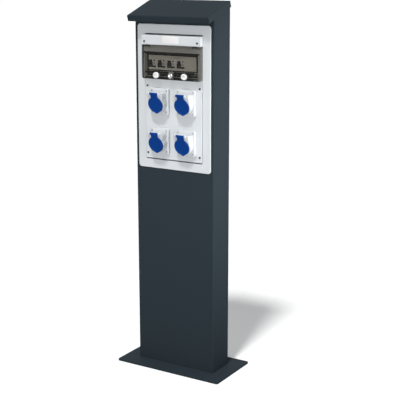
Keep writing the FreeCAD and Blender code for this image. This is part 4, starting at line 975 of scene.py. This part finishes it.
@dataclass
class BreakerFront:
    """Lever, test button and front details of one breaker.

    The X of its plates counts from the breaker's middle, or from the lever's axle for those about the well.
    """

    finishes: Finishes
    number: int
    lever_offset: float = 10.5
    hub_radius: float = 5.0
    arc_steps: Steps = (28, 4)
    lever_half: float = 4.0
    lever_reach: float = 11.5
    lever_root: float = 2.3
    lever_tip: float = 1.5
    lever_soft: float = 0.9
    lever_edge: float = 0.4
    lever_rest: float = 35.0
    ridges: tuple[Flat, ...] = ((1.8, 0.0), (3.2, 0.12), (4.6, 0.24))
    ridge_half: float = 0.3
    ridge_corner: float = 0.1
    ridge_share: float = 0.8
    axle: Disc = Disc(1.5, -5.3, 5.3, points=24)
    button_place: Flat = (3.2, 1005.0)
    button: Disc = Disc(3.5, 2.4, 9.4, 0.5)
    button_dish: tuple[Flat, ...] = ((2.3, 9.4), (1.5, 9.0))
    button_bore: float = 3.65
    pale_fronts: Plates = (
        Plate(0.0, 991.8, 15.6, 4.6, 0.8, 6.8, 7.5, 0.3), Plate(0.0, 1024.4, 15.6, 4.8, 0.8, 6.8, 7.5, 0.3))
    well_head: Plate = Plate(0.0, 1017.4, 5.7, 1.9, 0.3, 6.8, 7.5, 0.2)
    button_field: Plate = Plate(3.2, 1005.0, 5.8, 6.6, 1.0, 6.8, 7.6, 0.3)
    mark: Plate = Plate(8.0, 1026.2, 3.4, 1.4, 0.3, 7.4, 7.8, 0.1)
    sight: Plate = Plate(3.2, 1014.2, 2.6, 1.8, 0.4, 6.8, 7.5, 0.1)
    well_floor: Plate = Plate(0.0, 1008.0, 4.2, 9.4, 0.2, -2.4, -2.18)
    well_cheeks: Plates = tuple(
        Plate(across, height, 0.07, half_tall, 0.05, -2.3, 7.0)
        for across, (height, half_tall) in product((-4.22, 4.22), ((1002.2, 3.6), (1012.3, 2.2))))
    guard_rim: Plate = Plate(0.0, 1006.5, 5.7, 9.5, 1.2, 6.8, 7.8, 0.3)
    guard_mouth: Plate = Plate(0.0, 1006.5, 4.35, 8.1, 0.6, 6.8, 7.8)
    # Dark plates below the lever stand for its shade: painted shade.
    guard_plates: Plates = (
        Plate(-6.5, 1000.5, 1.5, 7.5, 0.6, 6.8, 8.1, 0.4), Plate(6.5, 1000.5, 1.5, 7.5, 0.6, 6.8, 8.1, 0.4),
        Plate(6.0, 995.4, 14.0, 2.4, 0.6, 6.8, 8.1, 0.4))

    def lever_outline(self) -> Outline:
        """Return the lever's side view, with its handle along U.

        Returns:
            The outline.
        """
        root = math.degrees(math.asin(self.lever_root / self.hub_radius))
        soft, (hub_steps, soft_steps) = self.lever_soft, self.arc_steps
        end, rise = self.lever_reach - soft, self.lever_tip - soft
        return [*arc((0, 0), self.hub_radius, root, 360 - root, hub_steps),
                *arc((end, -rise), soft, -90, 0, soft_steps), *arc((end, rise), soft, 0, 90, soft_steps)]

    def pivot(self) -> Vector:
        """Return the middle of the lever's axle."""
        return joint_axis_point(f"lever_{self.number}_switch")

    def build_lever(self) -> None:
        """Build the lever with its grip ridges and its axle."""
        turned = side_seat(*self.pivot()) @ Matrix.Rotation(math.radians(self.lever_rest), 4, "Z")
        half, ridge_end = self.lever_half, self.ridge_share * self.lever_half
        lever = Piece(f"breaker_{self.number}_toggle")
        lever.stack(wall(self.lever_outline(), -half, half, self.lever_edge, both=True), turned)
        for back, rise in self.ridges:
            middle = (self.lever_reach - back, self.lever_tip + rise)
            ridge = rounded_box(self.ridge_half, self.ridge_half, self.ridge_corner, middle)
            lever.stack(wall(ridge, -ridge_end, ridge_end), turned)
        lever.stack(self.axle.layers(), turned)
        lever.finish(self.finishes, Slot.LEVER_PLASTIC, f"breaker_lever_{self.number}", body=f"lever_{self.number}")

    def build_button(self) -> None:
        """Build the test button."""
        across, height = self.button_place
        seat = front_seat(self.pivot().x + self.lever_offset + across, height)
        dish = [(circle(radius, self.button.points), depth) for radius, depth in self.button_dish]
        button = Piece(f"breaker_{self.number}_button_cap").stack([*self.button.layers(), *dish], seat)
        button.finish(self.finishes, Slot.BUTTON_PLASTIC, f"test_button_{self.number}", body=f"test_{self.number}")

    def build(self) -> None:
        """Build the pieces of this breaker's front: lever, button, pale fields, marks, sight, and the navy guard
        with plates of painted shade below the lever.
        """
        name, axle_x = f"breaker_{self.number}", self.pivot().x
        middle_x = axle_x + self.lever_offset
        self.build_lever()
        self.build_button()
        front = Piece(f"{name}_front").add(*self.pale_fronts, middle_x=middle_x)
        front.add(self.well_head, middle_x=axle_x).finish(self.finishes, Slot.MODULE_PLASTIC)
        bore = directed(self.button_field.outline(), self.button_bore)
        marks = Piece(f"{name}_marks").ring(self.button_field.layers(), bore, self.button_field.seat(middle_x))
        marks.add(self.mark, middle_x=middle_x).finish(self.finishes, Slot.WHITE_PLASTIC)
        Piece(f"{name}_sight").add(self.sight, middle_x=middle_x).finish(self.finishes, Slot.BLACK_PLASTIC)
        guard_and_shade = Piece(f"{name}_guard").add(self.well_floor, *self.well_cheeks, middle_x=axle_x)
        guard_and_shade.ring(self.guard_rim.layers(), self.guard_mouth.outline(), self.guard_rim.seat(axle_x))
        guard_and_shade.add(*self.guard_plates, middle_x=axle_x).finish(self.finishes, Slot.LEVER_PLASTIC)


@dataclass
class CoverTrim:
    """Trim of the cover and the panel: label, dark bands, black plates of painted shade in the gaps and beside the
    panel, ticks, slats and the hinge's details.
    """

    finishes: Finishes
    label: Plate = Plate(0.0, 1080.0, 30.0, 11.0, 1.5, 20.0, 20.4, 0.1)
    # Black plates across the lower cover face, where it looks dark.
    rails: Plates = tuple(
        Plate(across, height, 44.0, half_tall, 0.6, 14.8, 15.7, 0.3)
        for across, (height, half_tall) in product((-53.0, 53.0), ((978.2, 3.6), (961.4, 3.4))))
    # Black plates in the aperture's gaps and along the cover's edge: painted shade of the gaps.
    fillers: Plates = (
        Plate(0.0, 1033.75, 97.4, 3.2, 0.3, 0.0, 6.5), Plate(0.0, 983.8, 97.4, 1.6, 0.3, 0.0, 6.5),
        Plate(92.35, 1008.0, 5.1, 22.5, 0.3, 0.0, 6.3), Plate(-102.4, 1009.5, 1.1, 51.5, 0.3, 14.8, 15.5),
        Plate(0.0, 1039.4, 102.4, 2.3, 0.3, 14.8, 15.4))
    # Thin dark strips in the gaps beside the panel: painted shade of the gaps.
    seals: Plates = tuple(Plate(x, 897.5, 0.5, 196.0, 0.2, 1.0, 2.35) for x in (-105.55, 105.55))
    ticks: Plates = tuple(
        Plate(across, height, half_wide, 0.5, 0.2, 14.8, 16.0) for across, height, half_wide in (
            (-98.6, 976.6, 1.6), (-98.6, 962.6, 1.6), (90.5, 980.6, 6.3), (90.5, 974.9, 6.3), (90.5, 961.2, 6.3)))
    slats: Plates = tuple(
        Plate(x, 1008.0, 4.0, 21.5, 0.5, 6.8, 7.6, 0.3) for x in (56.75, 65.25, 73.75, 82.25))
    spot_place: Flat = (79.0, 1056.5)
    spot: Disc = Disc(2.0, 14.7, 15.9, 0.3)
    sleeve: Disc = Disc(2.78, -1.62, 1.62)
    sleeve_offset: float = 5.8
    hinge_x: float = 86.6

    def build_spots(self) -> None:
        """Build the bright screw spots of the hinge."""
        spots = Piece("hinge_screw_spots")
        for side in Side:
            spots.stack(self.spot.layers(), front_seat(side.value * self.spot_place[0], self.spot_place[1]))
        spots.finish(self.finishes, Slot.GREY_SCREW)

    def build_sleeves(self) -> None:
        """Build the dark sleeves on the hinge's lugs."""
        pivot = joint_axis_point("window_hinge")
        sleeves = Piece("hinge_lug_sleeves")
        for side, offset in product(Side, (-self.sleeve_offset, self.sleeve_offset)):
            sleeves.stack(self.sleeve.layers(), side_seat(side.value * self.hinge_x + offset, pivot.y, pivot.z))
        sleeves.finish(self.finishes, Slot.BLACK_PLASTIC)

    def build(self) -> None:
        """Build the trim."""
        Piece("label_film_sheet").add(self.label).finish(self.finishes, Slot.LABEL_FILM, "label_plate")
        Piece("cover_dark_rails").add(*self.rails).finish(self.finishes, Slot.BLACK_PLASTIC)
        Piece("aperture_fillers").add(*self.fillers).finish(self.finishes, Slot.BLACK_PLASTIC)
        self.build_spots()
        Piece("panel_side_seals").add(*self.seals).finish(self.finishes, Slot.GASKET_RUBBER)
        Piece("cover_ticks").add(*self.ticks).finish(self.finishes, Slot.GREY_MOULDING)
        Piece("blank_slats").add(*self.slats).finish(self.finishes, Slot.MODULE_PLASTIC)
        self.build_sleeves()


@dataclass
class WindowFittings:
    """The two white knobs and the key lock on the smoky window."""

    finishes: Finishes
    knob_radius: float = 9.6
    knob_points: int = 360
    knob_ripple: float = 0.25
    knob_ripples: int = 30
    knob_span: Flat = (20.3, 27.7)
    knob_edge: float = 1.6
    knob_front: float = 28.0
    knob_rim: float = 2.4
    knob_slot: tuple[float, float, float] = (6.9, 1.1, 1.4)
    stem: Disc = Disc(3.2, 9.0, 20.8, points=40)
    tongue_span: Flat = (9.0, 12.0)
    tongue_half: Flat = (3.5, 2.5)
    tongue_corner: float = 0.6
    ring: Disc = Disc(8.0, 20.0, 23.5, 1.1, SPOKES)
    ring_lips: tuple[Flat, ...] = ((5.4, 23.5), (5.0, 23.1))
    ring_foot: float = 12.1
    sleeve_radius: float = 6.0
    ring_bore: float = 4.45
    barrel: Disc = Disc(4.4, 11.3, 23.0, 0.3, 128)
    key_slot: tuple[float, float, float] = (3.0, 0.7, 5.0)

    def build_knob(self, side: Side) -> None:
        """Build one knob with its stem and latch tongue.

        Args:
            side: Which knob.
        """
        name = f"knob_{side.name.lower()}"
        pivot = joint_axis_point(f"{name}_turn")
        seat = front_seat(pivot.x, pivot.z)
        grip = around(lambda angle: self.knob_radius
                      - self.knob_ripple * (0.5 + 0.5 * math.cos(self.knob_ripples * angle)), self.knob_points)
        reach, half, depth = self.knob_slot
        slot = around(bar_shape(reach, half), self.knob_points)
        knob = Piece(f"{name}_grip")
        knob.stack([*wall(grip, *self.knob_span, self.knob_edge),
                    (circle(self.knob_radius - self.knob_rim, self.knob_points), self.knob_front),
                    (slot, self.knob_front), (slot, self.knob_front - depth)], seat)
        knob.stack(self.stem.layers(), seat)
        tongue = rounded_box(*self.tongue_half, self.tongue_corner, (self.tongue_half[0], 0))
        knob.stack(wall(tongue, *self.tongue_span), seat)
        knob.finish(self.finishes, Slot.WHITE_PLASTIC, name, body=name)

    def build_lock(self) -> None:
        """Build the lock's chrome ring and its key barrel."""
        pivot = joint_axis_point("lock_turn")
        seat = front_seat(pivot.x, pivot.z)
        bore, sleeve = circle(self.ring_bore), circle(self.sleeve_radius)
        ring = Piece("lock_ring")
        ring.stack([(sleeve, self.ring_foot), (sleeve, self.ring.low), *self.ring.layers(),
                    *((circle(radius), height) for radius, height in self.ring_lips),
                    (bore, self.ring_lips[-1][1]), (bore, self.ring_foot)], seat, loop=True)
        ring.finish(self.finishes, Slot.CHROME, "lock_body", body="window")
        reach, half, depth = self.key_slot
        slot, front = around(bar_shape(reach, half), self.barrel.points), self.barrel.high
        barrel = Piece("lock_key_barrel").stack([*self.barrel.layers(), (slot, front), (slot, front - depth)],
                                                seat @ Matrix.Rotation(math.pi / 2, 4, "Z"))
        barrel.finish(self.finishes, Slot.CHROME, "lock_barrel", body="lock")

    def build(self) -> None:
        """Build both knobs and the lock."""
        for side in Side:
            self.build_knob(side)
        self.build_lock()


@dataclass(frozen=True)
class Lamp:
    """A soft box: where it hangs and what it faces, its width and height, its watts and its beam in degrees."""

    name: str
    place: Point
    target: Point
    size: Flat
    power: float
    spread: float

    def hang(self) -> None:
        """Hang the lamp."""
        data = bpy.data.lights.new(self.name, "AREA")
        data.shape = "RECTANGLE"
        data.size, data.size_y = self.size
        data.energy = self.power
        data.spread = math.radians(self.spread)
        lamp = add_object(self.name, data)
        lamp.location = self.place
        lamp.rotation_euler = (Vector(self.target) - Vector(self.place)).to_track_quat("-Z", "Y").to_euler()


def shown(tree: Tree) -> Socket:
    """Tell what the eye meets straight, in a mirror or through glass from light that is still on its way.

    Args:
        tree: The tree that gets the nodes.

    Returns:
        The output, 1 for what the eye meets.
    """
    path = add_node(tree, "LightPath")
    rays = [path.outputs[f"Is {kind} Ray"] for kind in ("Camera", "Glossy", "Transmission")]
    return reduce(lambda one, other: add_node(tree, "Math", one, other, operation="MAXIMUM").outputs[0], rays)


@dataclass
class Studio:
    """Camera, pale floor and soft lamps."""

    camera_place: Point = (1.6983, -2.6702, 1.3063)
    camera_yaw: float = 31.42
    camera_pitch: float = 13.25
    camera_end: float = 200.0
    focal_pixels: float = 1000.0
    picture_pixels: float = 400.0
    floor_half: float = 40.0
    floor_seen: Tone = (249, 249, 249)
    floor_lit: Tone = (178, 178, 178)
    floor_lift: float = 0.13
    sky: Shade = (0.97, 0.985, 1.0, 1.0)
    sky_strength: float = 0.3
    backdrop: Shade = (1.0, 1.0, 1.0, 1.0)
    sun_strength: float = 2.3
    sun_width: float = 7.5
    sun_course: Point = (-0.1, 0.653, -1.2)
    lamps: tuple[Lamp, ...] = (
        Lamp("side_lamp", (1.3, -0.14, 0.75), (0.1, 0.0, 0.75), (0.3, 1.0), 2.8, 60.0),
        Lamp("front_lamp", (0.5, -2.6, 0.9), (0.0, 0.0, 0.85), (1.2, 1.2), 3.0, 50.0),
        Lamp("back_lamp", (0.5, 2.6, 1.0), (0.0, 0.0, 0.7), (1.0, 1.0), 2.2, 40.0))

    def make_camera(self) -> None:
        """Put the camera where the photograph was taken from."""
        data = bpy.data.cameras.new("Camera")
        data.lens = self.focal_pixels / self.picture_pixels * data.sensor_width
        data.clip_end = self.camera_end
        camera = add_object("Camera", data)
        camera.location = self.camera_place
        camera.rotation_euler = (math.radians(90 - self.camera_pitch), 0, math.radians(self.camera_yaw))
        bpy.context.scene.camera = camera

    def make_floor(self) -> None:
        """Lay a pale floor that shows white where the lamps reach it and keeps the shadow."""
        mesh = bpy.data.meshes.new("studio_floor")
        half = self.floor_half
        mesh.from_pydata([(-half, -half, 0), (half, -half, 0), (half, half, 0), (-half, half, 0)], [],
                         [(0, 1, 2, 3)])
        floor = add_object("studio_floor", mesh)
        material = bpy.data.materials.new("studio_floor")
        material.use_nodes = True
        tree = material.node_tree
        tree.nodes.clear()
        path = add_node(tree, "LightPath")
        tone = add_node(tree, "MixRGB", path.outputs["Is Camera Ray"], linear(self.floor_lit),
                        linear(self.floor_seen))
        matte = add_node(tree, "BsdfDiffuse", tone.outputs["Color"])
        lift = add_node(tree, "Math", shown(tree), self.floor_lift, operation="MULTIPLY")
        glow = add_node(tree, "Emission", Strength=lift.outputs[0])
        total = add_node(tree, "AddShader", matte.outputs[0], glow.outputs[0])
        add_node(tree, "OutputMaterial", Surface=total.outputs[0])
        floor.data.materials.append(material)

    def make_world(self) -> None:
        """Make a white backdrop for the eye and a softer sky for the lamps' work."""
        world = bpy.data.worlds.new("studio_world")
        bpy.context.scene.world = world
        world.use_nodes = True
        tree = world.node_tree
        tree.nodes.clear()
        white = add_node(tree, "Background", self.backdrop, 1.0)
        sky = add_node(tree, "Background", self.sky, self.sky_strength)
        mix = add_node(tree, "MixShader", shown(tree), sky.outputs[0], white.outputs[0])
        add_node(tree, "OutputWorld", Surface=mix.outputs[0])

    def make_sun(self) -> None:
        """Hang the wide main lamp far away, so that the floor is lit alike everywhere."""
        data = bpy.data.lights.new("main_lamp", "SUN")
        data.energy = self.sun_strength
        data.angle = math.radians(self.sun_width)
        lamp = add_object("main_lamp", data)
        lamp.rotation_euler = Vector(self.sun_course).to_track_quat("-Z", "Y").to_euler()

    def build(self) -> None:
        """Set up the whole studio."""
        bpy.context.scene.view_settings.view_transform = "Standard"
        self.make_camera()
        self.make_floor()
        self.make_world()
        self.make_sun()
        for lamp in self.lamps:
            lamp.hang()


def main() -> None:
    """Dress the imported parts, add the finer pieces and set up the studio."""
    logging.basicConfig(level=logging.INFO, format="%(message)s")
    finishes = Finishes.mixed(Workshop.opened())
    finishes.dress_packed()
    Fasteners(finishes).build()
    for number in range(1, 5):
        SocketLid(finishes, number).build()
        BreakerFront(finishes, number).build()
    CoverTrim(finishes).build()
    WindowFittings(finishes).build()
    Studio().build()


if __name__ == "__main__":
    main()
